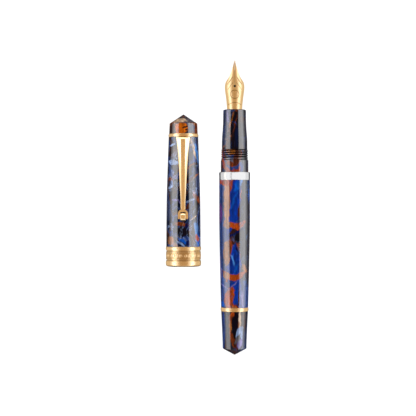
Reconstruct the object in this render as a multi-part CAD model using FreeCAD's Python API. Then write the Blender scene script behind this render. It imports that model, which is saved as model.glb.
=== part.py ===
"""Fountain pen, unscrewed from its cap, the two lying side by side on a desk.

The pen's axis runs along Y with the nib towards +Y, X is to the right and Z is up.
The origin is on the desk, under the middle of the pair. All sizes are millimetres.
Every turned piece is built round the Y axis and then moved to the pen's or the cap's own axis.
"""

import FreeCAD
import Part

import math
import os

from FreeCAD import Vector

os.makedirs("parts", exist_ok=True)

# ---------------------------------------------------------------- driving dimensions
AXIS_SPACING = 22.77  # between the pen's axis and the cap's
RING_R = 6.94  # steel ring, the widest place of the pen, so the pen rests on it
BAND_R = 7.87  # cap band, the widest place of the cap

# places along the pen, from the nib's tip to the tail's point
NIB_TIP = 65.5
SECTION_FRONT = 43.6
NECK_FRONT = 25.9
THREAD_END = 21.4
RING_FRONT = 15.77
BARREL_FRONT = 12.29
BARREL_REAR = -44.31
TAIL_RING_REAR = -45.92
TAIL_SHOULDER = -62.64
TAIL_POINT = -65.5

# places along the cap, from the crown's point to the mouth
CROWN_POINT = 41.5
CROWN_SHOULDER = 37.45
CROWN_BASE = 32.71
CAP_TOP = 31.35
BAND_TOP = -17.2
CAP_MOUTH = -26.0

PEN_X = (BAND_R - RING_R + AXIS_SPACING) / 2
CAP_X = PEN_X - AXIS_SPACING

# outer radii of the resin pieces
SECTION_FRONT_R = 5.07
SECTION_REAR_R = 5.67
NECK_THREAD_R = 6.04
NECK_THREAD_ROOT = 5.74
COLLAR_R = 6.14
BARREL_R = 6.87
BARREL_REAR_R = 6.04
STRAIGHT_END = -4.0  # where the barrel's cylinder ends and its taper starts
TAIL_FRONT_R = 5.97
TAIL_REAR_R = 5.31
CROWN_TOP_R = 6.17
CROWN_BASE_R = 6.36
CAP_LOW_R = 7.64
CAP_TOP_R = 6.58
EDGE = 0.12  # small chamfer on the ends of the resin pieces

# sides of the tapered pieces between their ends, as (radius, y)
SECTION_SIDE = [(5.63, 29.9), (5.48, 32.6), (5.27, 35.2), (5.12, 38.9)]
TAIL_SIDE = [(5.77, -50.3), (5.57, -54.8), (5.40, -59.0)]
CAP_SIDE = [(7.60, -8.0), (7.46, 3.4), (7.22, 12.4), (6.91, 22.0)]

# bores and the pieces that run in them
SECTION_BORE = 3.93
TENON_R = 4.90
NECK_BORE = 4.95
NECK_TENON_R = 5.60
BARREL_BORE = 4.90
BUSH_BORE = 4.20
BUSH_THREAD_R = 4.80
BUSH_R = 5.28
TAIL_SOCKET_R = 4.86
CAP_THREAD_BORE = 5.84
CAP_THREAD_ROOT = 6.12
CAP_MOUTH_BORE = 6.22
CAP_TENON_R = 7.10
CAP_SOCKET_END = 26.4  # where the cap's bore ends, inside its top
LINER_R = 5.45
LINER_BORE = 4.75
LINER_MOUTH = 2.4
LINER_TOP = 26.3
STUD_R = 1.95
STUD_TOP = 36.2
NECK_REAR = 4.6
SECTION_REAR = 17.9
TAIL_SOCKET_END = -51.3
TAIL_HOLLOW_R = 4.10
TAIL_HOLLOW_END = -60.2
FIT = 0.02  # gap between pieces that are pressed or glued together

# converter
NIPPLE_R = 1.28
NIPPLE_END = 17.3
CONVERTER_FRONT = 23.6
CHAMBER_R = 2.70
CHAMBER_FRONT = 16.0
TUBE_REAR = -22.0
TUBE_R = 3.30
FERRULE_R = 3.75
FERRULE_REAR = -41.0
KNOB_R = 3.55
KNOB_REAR = -50.0
SPINDLE_R = 2.40
ROD_R = 1.20
ROD_FLAT = 0.93  # half the rod's thickness across its two flats
ROD_REAR = -27.5
ROD_FRONT = 14.2
RIB_COUNT = 24  # flutes round the knob

# screw threads
THREAD_FLANK = 0.42  # half width of a groove's mouth, as a share of the pitch
THREAD_START = 17  # degrees round the axis where a groove begins
FINE_PITCH = 0.75
CAP_PITCH = 1.0

# nib
NIB_THICK = 0.42
NIB_TAIL_LENGTH = 13.0
HOLE_FROM_TIP = 11.55
HOLE_R = 0.47
SLIT_WIDTH = 0.09
TIPPING_R = 0.37
TIPPING_HEIGHT = 1.06  # over the pen's axis
# distance from the tip, half width seen from above, height of the ridge over the axis, depth of the curve
NIB_STATIONS = [
    (0.55, 0.24, 1.34, 0.03),
    (1.5, 0.46, 1.46, 0.06),
    (3.3, 0.98, 1.76, 0.20),
    (5.1, 1.57, 2.08, 0.45),
    (6.9, 2.26, 2.38, 0.86),
    (8.2, 3.02, 2.58, 1.36),
    (9.1, 3.66, 2.71, 1.85),
    (10.0, 4.08, 2.84, 2.25),
    (11.8, 4.36, 3.05, 2.60),
    (14.0, 4.17, 3.22, 2.72),
    (16.7, 3.80, 3.32, 2.80),
    (19.8, 3.48, 3.37, 2.86),
    (22.0, 3.33, 3.37, 2.85),
]

# feed: distance from the tip, half width, top, bottom
FEED_STATIONS = [
    (4.4, 0.55, 1.42, 1.0),
    (7.4, 1.15, 1.86, 0.35),
    (10.6, 2.0, 2.30, -0.75),
    (14.0, 2.55, 2.66, -1.9),
    (18.0, 2.85, 2.88, -2.6),
    (21.8, 2.9, 2.92, -2.9),
]
FEED_R = 2.9
FEED_REAR = 26.4
FIN_COUNT = 9
FIN_PITCH = 0.92
FIN_GAP = 0.42

# clip
CLIP_TOP = 31.05
# along the bar: y, width, then the heights over the cap's axis of its underside, its shoulders and its ridge
CLIP_STATIONS = [
    (CLIP_TOP, 5.95, 7.30, 7.65, 8.75),
    (24.0, 4.45, 7.95, 8.30, 9.30),
    (13.0, 3.05, 8.50, 8.85, 9.85),
    (-1.4, 2.16, 8.62, 9.05, 10.12),
]
RIDGE_WIDTH = 2.05
GABLE_BACK = 1.25  # from the bar's end to where its top facets start
GABLE_LEAN = 38
GABLE_TURN = 14
TAB_WIDTH = 4.2
TAB_LOW = 5.1
TAB_HIGH = 7.6
TAB_REAR = 30.35
FORK_LOW = 8.62
FORK_HIGH = 10.17
FORK_FLOOR = -1.86
FORK_R = 2.25
FORK_CENTRE = -2.85
PRONG_END = -4.95
SLOT_WIDTH = 2.42
WHEEL_R = 1.78
WHEEL_WIDTH = 2.20
WHEEL_Y = -3.95
AXLE_R = 0.40
WHEEL_GAP = 0.06  # between the wheel and the cap's surface
CAP_R_AT_WHEEL = 7.568
WHEEL_HEIGHT = CAP_R_AT_WHEEL + WHEEL_GAP + WHEEL_R  # of the axle, over the cap's axis

Y_AXIS = Vector(0, 1, 0)


# ---------------------------------------------------------------- helpers
def edge_through(points):
    """Two points make a straight edge, three a circular arc, more a smooth curve."""
    vectors = [Vector(r, y, 0) for r, y in points]
    if len(vectors) == 2:
        return Part.makeLine(*vectors)
    if len(vectors) == 3:
        return Part.Arc(*vectors).toShape()
    curve = Part.BSplineCurve()
    curve.interpolate(vectors)
    return curve.toShape()


def turned(*runs):
    """Solid of revolution about Y. A run is a list of (radius, y); each starts where the last one ended."""
    edges = [edge_through(run) for run in runs]
    if runs[-1][-1] != runs[0][0]:
        edges.append(edge_through([runs[-1][-1], runs[0][0]]))
    face = Part.Face(Part.Wire(edges))
    return face.revolve(Vector(0, 0, 0), Y_AXIS, 360)


def corners(*points):
    """Straight runs from each point to the next."""
    return [[points[i], points[i + 1]] for i in range(len(points) - 1)]


def tube(outer, inner, low, high):
    solid = Part.makeCylinder(outer, high - low, Vector(0, low, 0), Y_AXIS)
    if inner:
        solid = solid.cut(Part.makeCylinder(inner, high - low, Vector(0, low, 0), Y_AXIS))
    return solid


def block(x, y, z):
    """Box from (low, high) pairs."""
    return Part.makeBox(x[1] - x[0], y[1] - y[0], z[1] - z[0], Vector(x[0], y[0], z[0]))


def groove(tip_r, open_r, pitch, low, high, starts=1):
    """V-shaped helical groove from low to high. Its tip is at tip_r and it is open at open_r."""
    half = THREAD_FLANK * pitch
    past = 1.15 * open_r - 0.15 * tip_r
    widen = half * (past - tip_r) / (open_r - tip_r)
    triangle = Part.makePolygon(
        [Vector(tip_r, 0, 0), Vector(past, 0, widen), Vector(past, 0, -widen), Vector(tip_r, 0, 0)]
    )
    helix = Part.makeHelix(pitch * starts, high - low, tip_r)
    sweep = Part.Wire(helix.Edges).makePipeShell([triangle], True, True)
    turns = []
    for i in range(starts):
        turn = sweep.copy()
        turn.rotate(Vector(0, 0, 0), Vector(0, 0, 1), 360 * i / starts + THREAD_START)
        turn.rotate(Vector(0, 0, 0), Vector(1, 0, 0), -90)
        turn.translate(Vector(0, low, 0))
        turns.append(turn)
    return turns


def on_pen(shape):
    shape = shape.copy()
    shape.translate(Vector(PEN_X, 0, RING_R))
    return shape


def on_cap(shape):
    shape = shape.copy()
    shape.translate(Vector(CAP_X, 0, BAND_R))
    return shape


# ---------------------------------------------------------------- section, nib and feed
def section():
    """The grip: flares gently towards the rear, and its tenon screws into the neck."""
    lip = 0.45
    groove_floor, groove_rear, groove_front = TENON_R - 0.55, NECK_FRONT - 0.95, NECK_FRONT - 0.25
    body = turned(
        [(SECTION_BORE, SECTION_REAR), (TENON_R - 0.25, SECTION_REAR)],
        [(TENON_R - 0.25, SECTION_REAR), (TENON_R, SECTION_REAR + 0.25)],
        *corners((TENON_R, SECTION_REAR + 0.25), (TENON_R, NECK_FRONT), (SECTION_REAR_R - EDGE, NECK_FRONT)),
        [(SECTION_REAR_R - EDGE, NECK_FRONT), (SECTION_REAR_R, NECK_FRONT + EDGE)],
        [(SECTION_REAR_R, NECK_FRONT + EDGE), *SECTION_SIDE, (SECTION_FRONT_R, SECTION_FRONT - lip)],
        [
            (SECTION_FRONT_R, SECTION_FRONT - lip),
            (SECTION_FRONT_R - 0.29 * lip, SECTION_FRONT - 0.29 * lip),
            (SECTION_FRONT_R - lip, SECTION_FRONT),
        ],
        [(SECTION_FRONT_R - lip, SECTION_FRONT), (SECTION_BORE + 0.2, SECTION_FRONT)],
        [(SECTION_BORE + 0.2, SECTION_FRONT), (SECTION_BORE, SECTION_FRONT - 0.2)],
    )
    body = body.cut(tube(TENON_R + 1, groove_floor, groove_rear, groove_front))
    return body.cut(groove(TENON_R - 0.25, TENON_R, FINE_PITCH, SECTION_REAR - 1, NECK_FRONT - 1.5))


def section_oring():
    """Seal that lies in the groove of the section's tenon."""
    cord_r = 0.28
    return Part.makeTorus(TENON_R + FIT - cord_r, cord_r, Vector(0, NECK_FRONT - 0.6, 0), Y_AXIS)


def thickness(from_tip):
    """The nib's sheet is thinner at the tip than at the shoulders."""
    thinner, until = 0.12, 8
    return NIB_THICK - thinner * max(0.0, 1 - from_tip / until)


def nib_arc(from_tip, half_width, ridge, depth):
    """Closed crescent outline across the nib, as wide as half_width and curved by depth."""
    outer = (half_width**2 + depth**2) / (2 * depth)
    centre = ridge - outer
    swing = math.asin(min(1.0, half_width / outer))
    inner = outer - thickness(from_tip)
    y = NIB_TIP - from_tip

    def at(radius, angle):
        return Vector(radius * math.sin(angle), y, centre + radius * math.cos(angle))

    over = Part.Arc(at(outer, -swing), at(outer, 0), at(outer, swing)).toShape()
    right = Part.makeLine(at(outer, swing), at(inner, swing))
    under = Part.Arc(at(inner, swing), at(inner, 0), at(inner, -swing)).toShape()
    left = Part.makeLine(at(inner, -swing), at(outer, -swing))
    return Part.Wire([over, right, under, left])


def nib():
    """Curved gold sheet with a heart-shaped outline, a breather hole, and a slit from there to the tip."""
    wires = [nib_arc(*station) for station in NIB_STATIONS]
    front = Part.makeLoft(wires, True, False)
    rear = Part.Face(wires[-1]).extrude(Vector(0, -NIB_TAIL_LENGTH, 0))
    sheet = front.fuse(rear).removeSplitter()
    hole_y = NIB_TIP - HOLE_FROM_TIP
    hole = Part.makeCylinder(HOLE_R, 6, Vector(0, hole_y, 0), Vector(0, 0, 1))
    slit = block((-SLIT_WIDTH / 2, SLIT_WIDTH / 2), (hole_y, NIB_TIP + 1), (-1, 6))
    return sheet.cut(hole).cut(slit)


def tipping(side):
    """Hard pellet welded to the tip of one tine; the slit runs between the two."""
    rear = NIB_TIP - 0.55
    pellet = Part.makeSphere(TIPPING_R, Vector(0, NIB_TIP - TIPPING_R, TIPPING_HEIGHT))
    half = block(sorted((side * SLIT_WIDTH / 2, side * 2)), (rear, NIB_TIP + 1), (0, 3))
    return pellet.common(half)


def tipping_left():
    return tipping(-1)


def tipping_right():
    return tipping(1)


def feed():
    """Black comb under the nib: it tapers to the tip, has fins below and an ink channel on top."""
    wires = []
    for from_tip, half, top, bottom in FEED_STATIONS:
        y = NIB_TIP - from_tip
        side = top - 0.62 * (top - bottom) if half < FEED_R else 0.0
        left, right = Vector(-half, y, side), Vector(half, y, side)
        over = Part.Arc(left, Vector(0, y, top), right).toShape()
        under = Part.Arc(right, Vector(0, y, bottom), left).toShape()
        wires.append(Part.Wire([over, under]))
    front = Part.makeLoft(wires, True, False)
    rear = tube(FEED_R, 0, FEED_REAR, NIB_TIP - FEED_STATIONS[-1][0])
    body = front.fuse(rear)
    first_gap, gap_top, gap_rise = NIB_TIP - 20.6, -0.30, 0.11
    for i in range(FIN_COUNT):
        y = first_gap + FIN_PITCH * i
        body = body.cut(block((-4, 4), (y, y + FIN_GAP), (-4, gap_top + gap_rise * i)))
    channel_half, channel_floor = 0.16, 1.2
    return body.cut(block((-channel_half, channel_half), (20, NIB_TIP), (channel_floor, 4)))


def nib_housing():
    """Threaded sleeve that holds nib and feed, with the nipple that the converter pushes on to."""
    front, rear, floor = SECTION_FRONT - 0.3, 24.2, 26.0
    bore, waist, crest, flange = 3.42, 3.60, 3.85, 3.88
    ink_hole = 0.5
    thread_rear = 31.4
    body = turned(
        *corners(
            (bore, front),
            (flange, front),
            (flange, front - 1.2),
            (waist, front - 1.2),
            (waist, front - 1.8),
            (crest, front - 2.0),
            (crest, thread_rear + 0.2),
            (waist, thread_rear),
            (waist, rear),
            (NIPPLE_R, rear),
            (NIPPLE_R, NIPPLE_END + 0.4),
            (NIPPLE_R - 0.25, NIPPLE_END),
            (ink_hole, NIPPLE_END),
            (ink_hole, floor),
            (bore, floor),
        )
    )
    return body.cut(groove(waist + 0.02, crest, 0.6, thread_rear - 0.5, front - 2.2))


# ---------------------------------------------------------------- converter
def converter_tube():
    """Clear ink chamber with the mouth that pushes on to the nipple."""
    mouth, collar_r, collar_rear = NIPPLE_R + 0.04, 3.55, 14.8
    return turned(
        *corners(
            (mouth, CONVERTER_FRONT),
            (collar_r - 0.2, CONVERTER_FRONT),
            (collar_r, CONVERTER_FRONT - 0.2),
            (collar_r, collar_rear),
            (TUBE_R, collar_rear - 0.6),
            (TUBE_R, TUBE_REAR),
            (CHAMBER_R, TUBE_REAR),
            (CHAMBER_R, CHAMBER_FRONT),
            (mouth, CHAMBER_FRONT + 0.7),
        )
    )


def converter_ferrule():
    """Polished metal sleeve that joins the chamber to the knob."""
    front, spindle_hole, depth = -13.0, 2.60, 0.12
    floor = FERRULE_REAR + 0.8
    return turned(
        *corners(
            (TUBE_R, front),
            (FERRULE_R - 0.15, front),
            (FERRULE_R, front - 0.15),
            (FERRULE_R, front - 1.6),
            (FERRULE_R - depth, front - 1.72),
            (FERRULE_R - depth, front - 2.12),
            (FERRULE_R, front - 2.24),
            (FERRULE_R, FERRULE_REAR + 0.15),
            (FERRULE_R - 0.15, FERRULE_REAR),
            (spindle_hole, FERRULE_REAR),
            (spindle_hole, floor),
            (TUBE_R, floor),
        )
    )


def converter_guide():
    """Bush with a slotted hole: it lets the rod slide and keeps it from turning."""
    length, play = 3.38, 0.05
    disc = tube(TUBE_R - FIT, 0, TUBE_REAR - FIT - length, TUBE_REAR - FIT)
    hole = tube(ROD_R + play, 0, TUBE_REAR - length - 1, TUBE_REAR + 1)
    flats = block((-ROD_FLAT - play, ROD_FLAT + play), (TUBE_REAR - length - 2, TUBE_REAR + 2), (-2, 2))
    return disc.cut(hole.common(flats))


def converter_knob():
    """Ribbed knob on a hollow spindle, which draws the rod in as it turns."""
    neck = FERRULE_REAR - 0.25
    hole, spindle_front = ROD_R + 0.1, TUBE_REAR - 4.0
    flange_r, flange_front, flange_rear = 3.20, FERRULE_REAR + 3.4, FERRULE_REAR + 0.95
    floor = KNOB_REAR + 1.0
    body = turned(
        *corners(
            (hole, spindle_front),
            (SPINDLE_R, spindle_front),
            (SPINDLE_R, flange_front),
            (flange_r, flange_front),
            (flange_r, flange_rear),
            (SPINDLE_R, flange_rear),
            (SPINDLE_R, neck),
            (KNOB_R, neck),
            (KNOB_R, KNOB_REAR + 0.4),
            (KNOB_R - 0.4, KNOB_REAR),
            (0, KNOB_REAR),
            (0, floor),
            (hole, floor),
        )
    )
    flute_r, flute_gap = 0.22, 0.6
    start = Vector(KNOB_R + 0.06, KNOB_REAR + flute_gap, 0)
    flute = Part.makeCylinder(flute_r, neck - KNOB_REAR - 2 * flute_gap, start, Y_AXIS)
    flutes = []
    for i in range(RIB_COUNT):
        turned_flute = flute.copy()
        turned_flute.rotate(Vector(0, 0, 0), Y_AXIS, 360 * i / RIB_COUNT)
        flutes.append(turned_flute)
    return body.cut(flutes)


def piston_rod():
    """Coarse screw with two flats."""
    pitch, thread_front = 1.5, 9.0
    body = tube(ROD_R, 0, ROD_REAR, ROD_FRONT)
    body = body.cut(groove(ROD_R - 0.32, ROD_R, pitch, ROD_REAR - pitch, thread_front, 2))
    return body.common(block((-ROD_FLAT, ROD_FLAT), (ROD_REAR - 1, ROD_FRONT + 1), (-2, 2)))


def piston_seal():
    """Plunger with two soft lips that wipe the chamber."""
    front, rear = CHAMBER_FRONT - 0.4, 11.0
    lip = CHAMBER_R - FIT
    body = turned(
        [(0, front), (1.9, front)],
        [(1.9, front), (lip, front - 0.45), (2.3, front - 1.1)],
        *corners((2.3, front - 1.1), (2.2, front - 1.6), (2.2, rear + 1.5), (2.3, rear + 1.1)),
        [(2.3, rear + 1.1), (lip, rear + 0.55), (2.1, rear)],
        [(2.1, rear), (0, rear)],
    )
    socket = tube(ROD_R, 0, rear - 1, ROD_FRONT).common(block((-ROD_FLAT, ROD_FLAT), (0, 20), (-2, 2)))
    return body.cut(socket)


# ---------------------------------------------------------------- barrel
def barrel_neck():
    """Collar with the cap's screw thread. Its tenon holds the steel ring against the barrel."""
    shoulder = THREAD_END + 0.2
    step = NECK_FRONT - 8.8  # where the bore narrows behind the section's tenon
    thread = tube(NECK_THREAD_R, NECK_BORE, shoulder, NECK_FRONT)
    root = NECK_THREAD_ROOT + 0.03
    thread = thread.cut(groove(root, NECK_THREAD_R, CAP_PITCH, shoulder + 0.2, NECK_FRONT + 1))
    chamfer = turned(
        *corners(
            (NECK_THREAD_ROOT, NECK_FRONT),
            (NECK_THREAD_R + 0.1, NECK_FRONT),
            (NECK_THREAD_R + 0.1, NECK_FRONT - 0.4),
        )
    )
    body = turned(
        *corners(
            (NECK_BORE, shoulder),
            (NECK_THREAD_ROOT, shoulder),
            (NECK_THREAD_ROOT, THREAD_END - 0.05),
            (COLLAR_R, THREAD_END - 0.3),
            (COLLAR_R, RING_FRONT),
            (NECK_TENON_R, RING_FRONT),
            (NECK_TENON_R, NECK_REAR + 0.3),
            (NECK_TENON_R - 0.3, NECK_REAR),
            (BUSH_BORE, NECK_REAR),
            (BUSH_BORE, step + 0.4),
            (NECK_BORE, step),
        )
    )
    body = body.cut(groove(NECK_TENON_R - 0.22, NECK_TENON_R, FINE_PITCH, NECK_REAR - 1, BARREL_FRONT - 1.4))
    return body.fuse(thread.cut(chamfer))


def barrel_ring():
    """Polished steel ring between neck and barrel, with bright bevels at both edges."""
    bevel, drop = 0.30, 0.14
    return turned(
        *corners(
            (NECK_TENON_R + FIT, BARREL_FRONT),
            (RING_R - drop, BARREL_FRONT),
            (RING_R, BARREL_FRONT + bevel),
            (RING_R, RING_FRONT - bevel),
            (RING_R - drop, RING_FRONT),
            (NECK_TENON_R + FIT, RING_FRONT),
        )
    )


def barrel_radius(y):
    """A cylinder as far as STRAIGHT_END, then a taper that steepens towards the tail."""
    share = (STRAIGHT_END - y) / (STRAIGHT_END - BARREL_REAR)
    return BARREL_R - (BARREL_R - BARREL_REAR_R) * share**1.4


def barrel():
    steps = 7
    taper = [STRAIGHT_END + (BARREL_REAR - STRAIGHT_END) * i / steps for i in range(steps + 1)]
    front_socket = BARREL_FRONT - 8.3
    rear_socket = BARREL_REAR + 5.0
    return turned(
        *corners(
            (BARREL_BORE, front_socket),
            (NECK_TENON_R + 0.03, front_socket),
            (NECK_TENON_R + 0.03, BARREL_FRONT),
            (BARREL_R - EDGE, BARREL_FRONT),
            (BARREL_R, BARREL_FRONT - EDGE),
            (BARREL_R, STRAIGHT_END),
        ),
        [(barrel_radius(y), y) for y in taper],
        *corners(
            (BARREL_REAR_R, BARREL_REAR),
            (BUSH_R + FIT, BARREL_REAR),
            (BUSH_R + FIT, rear_socket),
            (BARREL_BORE, rear_socket),
        ),
    )


def tail_bush():
    """Brass insert glued into the barrel's end, with the thread that the blind cap screws on to."""
    end = BARREL_REAR - 6.5
    body = turned(
        *corners(
            (BUSH_BORE, BARREL_REAR + 4.95),
            (BUSH_R, BARREL_REAR + 4.95),
            (BUSH_R, BARREL_REAR + FIT),
            (BUSH_THREAD_R, BARREL_REAR + FIT),
            (BUSH_THREAD_R, end + 0.2),
            (BUSH_THREAD_R - 0.2, end),
            (BUSH_BORE, end),
        )
    )
    return body.cut(groove(BUSH_THREAD_R - 0.24, BUSH_THREAD_R, FINE_PITCH, end - 1, TAIL_RING_REAR - 0.6))


def tail_ring():
    """Gilt ring between barrel and blind cap, with a rounded rim."""
    hole, rim, crest = BUSH_THREAD_R + 0.03, 6.08, 6.22
    return turned(
        [(hole, TAIL_RING_REAR), (rim, TAIL_RING_REAR)],
        [(rim, TAIL_RING_REAR), (crest, (TAIL_RING_REAR + BARREL_REAR) / 2), (rim, BARREL_REAR)],
        [(rim, BARREL_REAR), (hole, BARREL_REAR)],
    )


def blind_cap():
    """Tapered end piece with a conical point. It screws off to reach the converter's knob."""
    brim = TAIL_REAR_R - 0.17
    return turned(
        [(TAIL_SOCKET_R, TAIL_RING_REAR), (TAIL_FRONT_R - EDGE, TAIL_RING_REAR)],
        [(TAIL_FRONT_R - EDGE, TAIL_RING_REAR), (TAIL_FRONT_R, TAIL_RING_REAR - EDGE)],
        [(TAIL_FRONT_R, TAIL_RING_REAR - EDGE), *TAIL_SIDE, (TAIL_REAR_R, TAIL_SHOULDER + 0.15)],
        [
            (TAIL_REAR_R, TAIL_SHOULDER + 0.15),
            (TAIL_REAR_R - 0.05, TAIL_SHOULDER),
            (brim, TAIL_SHOULDER - 0.1),
        ],
        [(brim, TAIL_SHOULDER - 0.1), (0, TAIL_POINT)],
        *corners(
            (0, TAIL_POINT),
            (0, TAIL_HOLLOW_END),
            (TAIL_HOLLOW_R - 0.5, TAIL_HOLLOW_END),
            (TAIL_HOLLOW_R, TAIL_HOLLOW_END + 0.5),
            (TAIL_HOLLOW_R, TAIL_SOCKET_END),
            (TAIL_SOCKET_R, TAIL_SOCKET_END),
        ),
    )


# ---------------------------------------------------------------- cap
def cap_tube():
    """Resin cap: swelling outside, stepped bore with the screw thread, and a slot at the top for the clip."""
    lip_end = CAP_MOUTH + 0.8
    thread_low, thread_high = CAP_MOUTH + 5.9, CAP_MOUTH + 10.6
    liner_seat = 2.0
    body = turned(
        *corners(
            (CAP_MOUTH_BORE, lip_end),
            (CAP_TENON_R, lip_end),
            (CAP_TENON_R, BAND_TOP),
            (CAP_LOW_R, BAND_TOP),
        ),
        [(CAP_LOW_R, BAND_TOP), *CAP_SIDE, (CAP_TOP_R, CAP_TOP)],
        *corners(
            (CAP_TOP_R, CAP_TOP),
            (STUD_R + FIT, CAP_TOP),
            (STUD_R + FIT, CAP_SOCKET_END),
            (LINER_R + 0.03, CAP_SOCKET_END),
            (LINER_R + 0.03, liner_seat),
            (CAP_THREAD_BORE, liner_seat - 0.4),
            (CAP_THREAD_BORE, thread_low),
            (CAP_MOUTH_BORE, thread_low - 0.4),
        ),
    )
    body = body.cut(groove(CAP_THREAD_ROOT, CAP_THREAD_BORE, CAP_PITCH, thread_low - 0.9, thread_high))
    side = TAB_WIDTH / 2 + 0.15
    slot = block((-side, side), (TAB_REAR - 0.2, CAP_TOP + 1), (TAB_LOW - 0.2, 9))
    return body.cut(slot)


def cap_band():
    """Wide gilt band at the mouth: a bead above and below, and a field between two fine grooves."""
    inner = CAP_TENON_R + FIT
    lip = CAP_MOUTH + 0.78
    mouth = CAP_MOUTH_BORE + 0.1
    bead = BAND_R - 0.17
    field = BAND_R - 0.05
    upper, lower = BAND_TOP - 1.75, CAP_MOUTH + 2.65
    notch = 0.22
    return turned(
        [(inner, lip), (inner, BAND_TOP)],
        [(inner, BAND_TOP), (bead, BAND_TOP)],
        [(bead, BAND_TOP), (BAND_R, (BAND_TOP + upper) / 2 + 0.1), (bead, upper)],
        *corners(
            (bead, upper),
            (bead, upper - notch),
            (field, upper - notch - 0.1),
            (field, upper - notch - 0.35),
            (field - 0.08, upper - notch - 0.42),
            (field - 0.08, lower + notch + 0.42),
            (field, lower + notch + 0.35),
            (field, lower + notch + 0.1),
            (bead, lower + notch),
            (bead, lower),
        ),
        [(bead, lower), (BAND_R, lower - 0.75), (BAND_R - 0.02, CAP_MOUTH + 1.1)],
        [(BAND_R - 0.02, CAP_MOUTH + 1.1), (BAND_R - 0.32, CAP_MOUTH + 0.32), (BAND_R - 1.0, CAP_MOUTH)],
        *corners((BAND_R - 1.0, CAP_MOUTH), (mouth, CAP_MOUTH), (mouth, lip)),
    )


def cap_liner():
    """Inner cap that closes over the nib."""
    wall = 0.9
    return turned(
        *corners(
            (LINER_BORE, LINER_MOUTH),
            (LINER_R, LINER_MOUTH),
            (LINER_R, LINER_TOP - 0.3),
            (LINER_R - 0.3, LINER_TOP),
            (0, LINER_TOP),
            (0, LINER_TOP - wall),
            (LINER_BORE, LINER_TOP - wall),
        )
    )


def cap_crown():
    """Crown with a low conical point and a blind hole for the stud."""
    brim = CROWN_TOP_R - 0.24
    stud_hole = STUD_TOP + 0.2
    return turned(
        [(STUD_R + FIT, CROWN_BASE), (CROWN_BASE_R, CROWN_BASE)],
        [(CROWN_BASE_R, CROWN_BASE), (CROWN_TOP_R, CROWN_SHOULDER - 0.2)],
        [
            (CROWN_TOP_R, CROWN_SHOULDER - 0.2),
            (CROWN_TOP_R - 0.06, CROWN_SHOULDER),
            (brim, CROWN_SHOULDER + 0.14),
        ],
        [(brim, CROWN_SHOULDER + 0.14), (0, CROWN_POINT)],
        *corners((0, CROWN_POINT), (0, stud_hole), (STUD_R + FIT, stud_hole)),
    )


def crown_stud():
    """Threaded brass stud that pulls crown, ring and cap together."""
    rear = CAP_SOCKET_END + 0.1
    body = tube(STUD_R, 0, rear, STUD_TOP)
    return body.cut(groove(STUD_R - 0.24, STUD_R, 0.7, rear - 0.7, CAP_TOP - 0.35))


def crown_ring():
    """Gilt ring between crown and cap, over the clip's tab."""
    hole, rim, crest = STUD_R + FIT, 6.50, 6.68
    return turned(
        [(hole, CAP_TOP), (rim, CAP_TOP)],
        [(rim, CAP_TOP), (crest, (CAP_TOP + CROWN_BASE) / 2), (rim, CROWN_BASE)],
        [(rim, CROWN_BASE), (hole, CROWN_BASE)],
    )


# ---------------------------------------------------------------- clip
def clip_outline(y, width, low, shoulder, high):
    """Hexagon across the bar: a flat ridge on top and a slope down to each side."""
    half, ridge = width / 2, RIDGE_WIDTH / 2
    if half < ridge + 0.05:
        ridge = half - 0.05
    points = [(-half, low), (-half, shoulder), (-ridge, high), (ridge, high), (half, shoulder), (half, low)]
    vectors = [Vector(x, y, z) for x, z in points]
    return Part.makePolygon(vectors + vectors[:1])


def clip():
    """Tapered bar with a flat ridge, a tab into the cap's top and a fork for the wheel."""
    bar = Part.makeLoft([clip_outline(*station) for station in CLIP_STATIONS], True, False)
    facet_low = CLIP_STATIONS[0][-1] + 0.05
    for side in (-1, 1):
        chop = block((0, 8) if side > 0 else (-8, 0), (0, 6), (-6, 6))
        chop.rotate(Vector(0, 0, 0), Vector(1, 0, 0), GABLE_LEAN)
        chop.rotate(Vector(0, 0, 0), Vector(0, 0, 1), -side * GABLE_TURN)
        chop.translate(Vector(0, CLIP_TOP - GABLE_BACK, facet_low))
        bar = bar.cut(chop)
    tab = block((-TAB_WIDTH / 2, TAB_WIDTH / 2), (TAB_REAR, CLIP_TOP), (TAB_LOW, TAB_HIGH))
    thick = FORK_HIGH - FORK_LOW
    toe_r = (FORK_R - SLOT_WIDTH / 2) / 2
    arch = Part.makeCylinder(FORK_R, thick, Vector(0, FORK_CENTRE, FORK_LOW))
    legs = block((-FORK_R, FORK_R), (PRONG_END + toe_r, FORK_CENTRE), (FORK_LOW, FORK_HIGH))
    toes = []
    for side in (-1, 1):
        middle = side * (FORK_R - toe_r)
        toes.append(Part.makeCylinder(toe_r, thick, Vector(middle, PRONG_END + toe_r, FORK_LOW)))
    fork = arch.fuse(legs).fuse(toes)
    slot = block((-SLOT_WIDTH / 2, SLOT_WIDTH / 2), (PRONG_END - 1, FORK_FLOOR), (8, 11))
    whole = bar.fuse(fork).fuse(tab).cut(slot)
    hole = Part.makeCylinder(AXLE_R, 6, Vector(-3, WHEEL_Y, WHEEL_HEIGHT), Vector(1, 0, 0))
    return whole.cut(hole).removeSplitter()


def clip_wheel():
    half, edge = WHEEL_WIDTH / 2, 0.18
    wheel = turned(
        *corners((AXLE_R + 0.05, -half), (WHEEL_R - edge, -half)),
        [(WHEEL_R - edge, -half), (WHEEL_R - 0.05, edge * 0.3 - half), (WHEEL_R, edge - half)],
        *corners((WHEEL_R, edge - half), (WHEEL_R, half - edge)),
        [(WHEEL_R, half - edge), (WHEEL_R - 0.05, half - edge * 0.3), (WHEEL_R - edge, half)],
        *corners((WHEEL_R - edge, half), (AXLE_R + 0.05, half)),
    )
    wheel.rotate(Vector(0, 0, 0), Vector(0, 0, 1), -90)
    wheel.translate(Vector(0, WHEEL_Y, WHEEL_HEIGHT))
    return wheel


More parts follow.
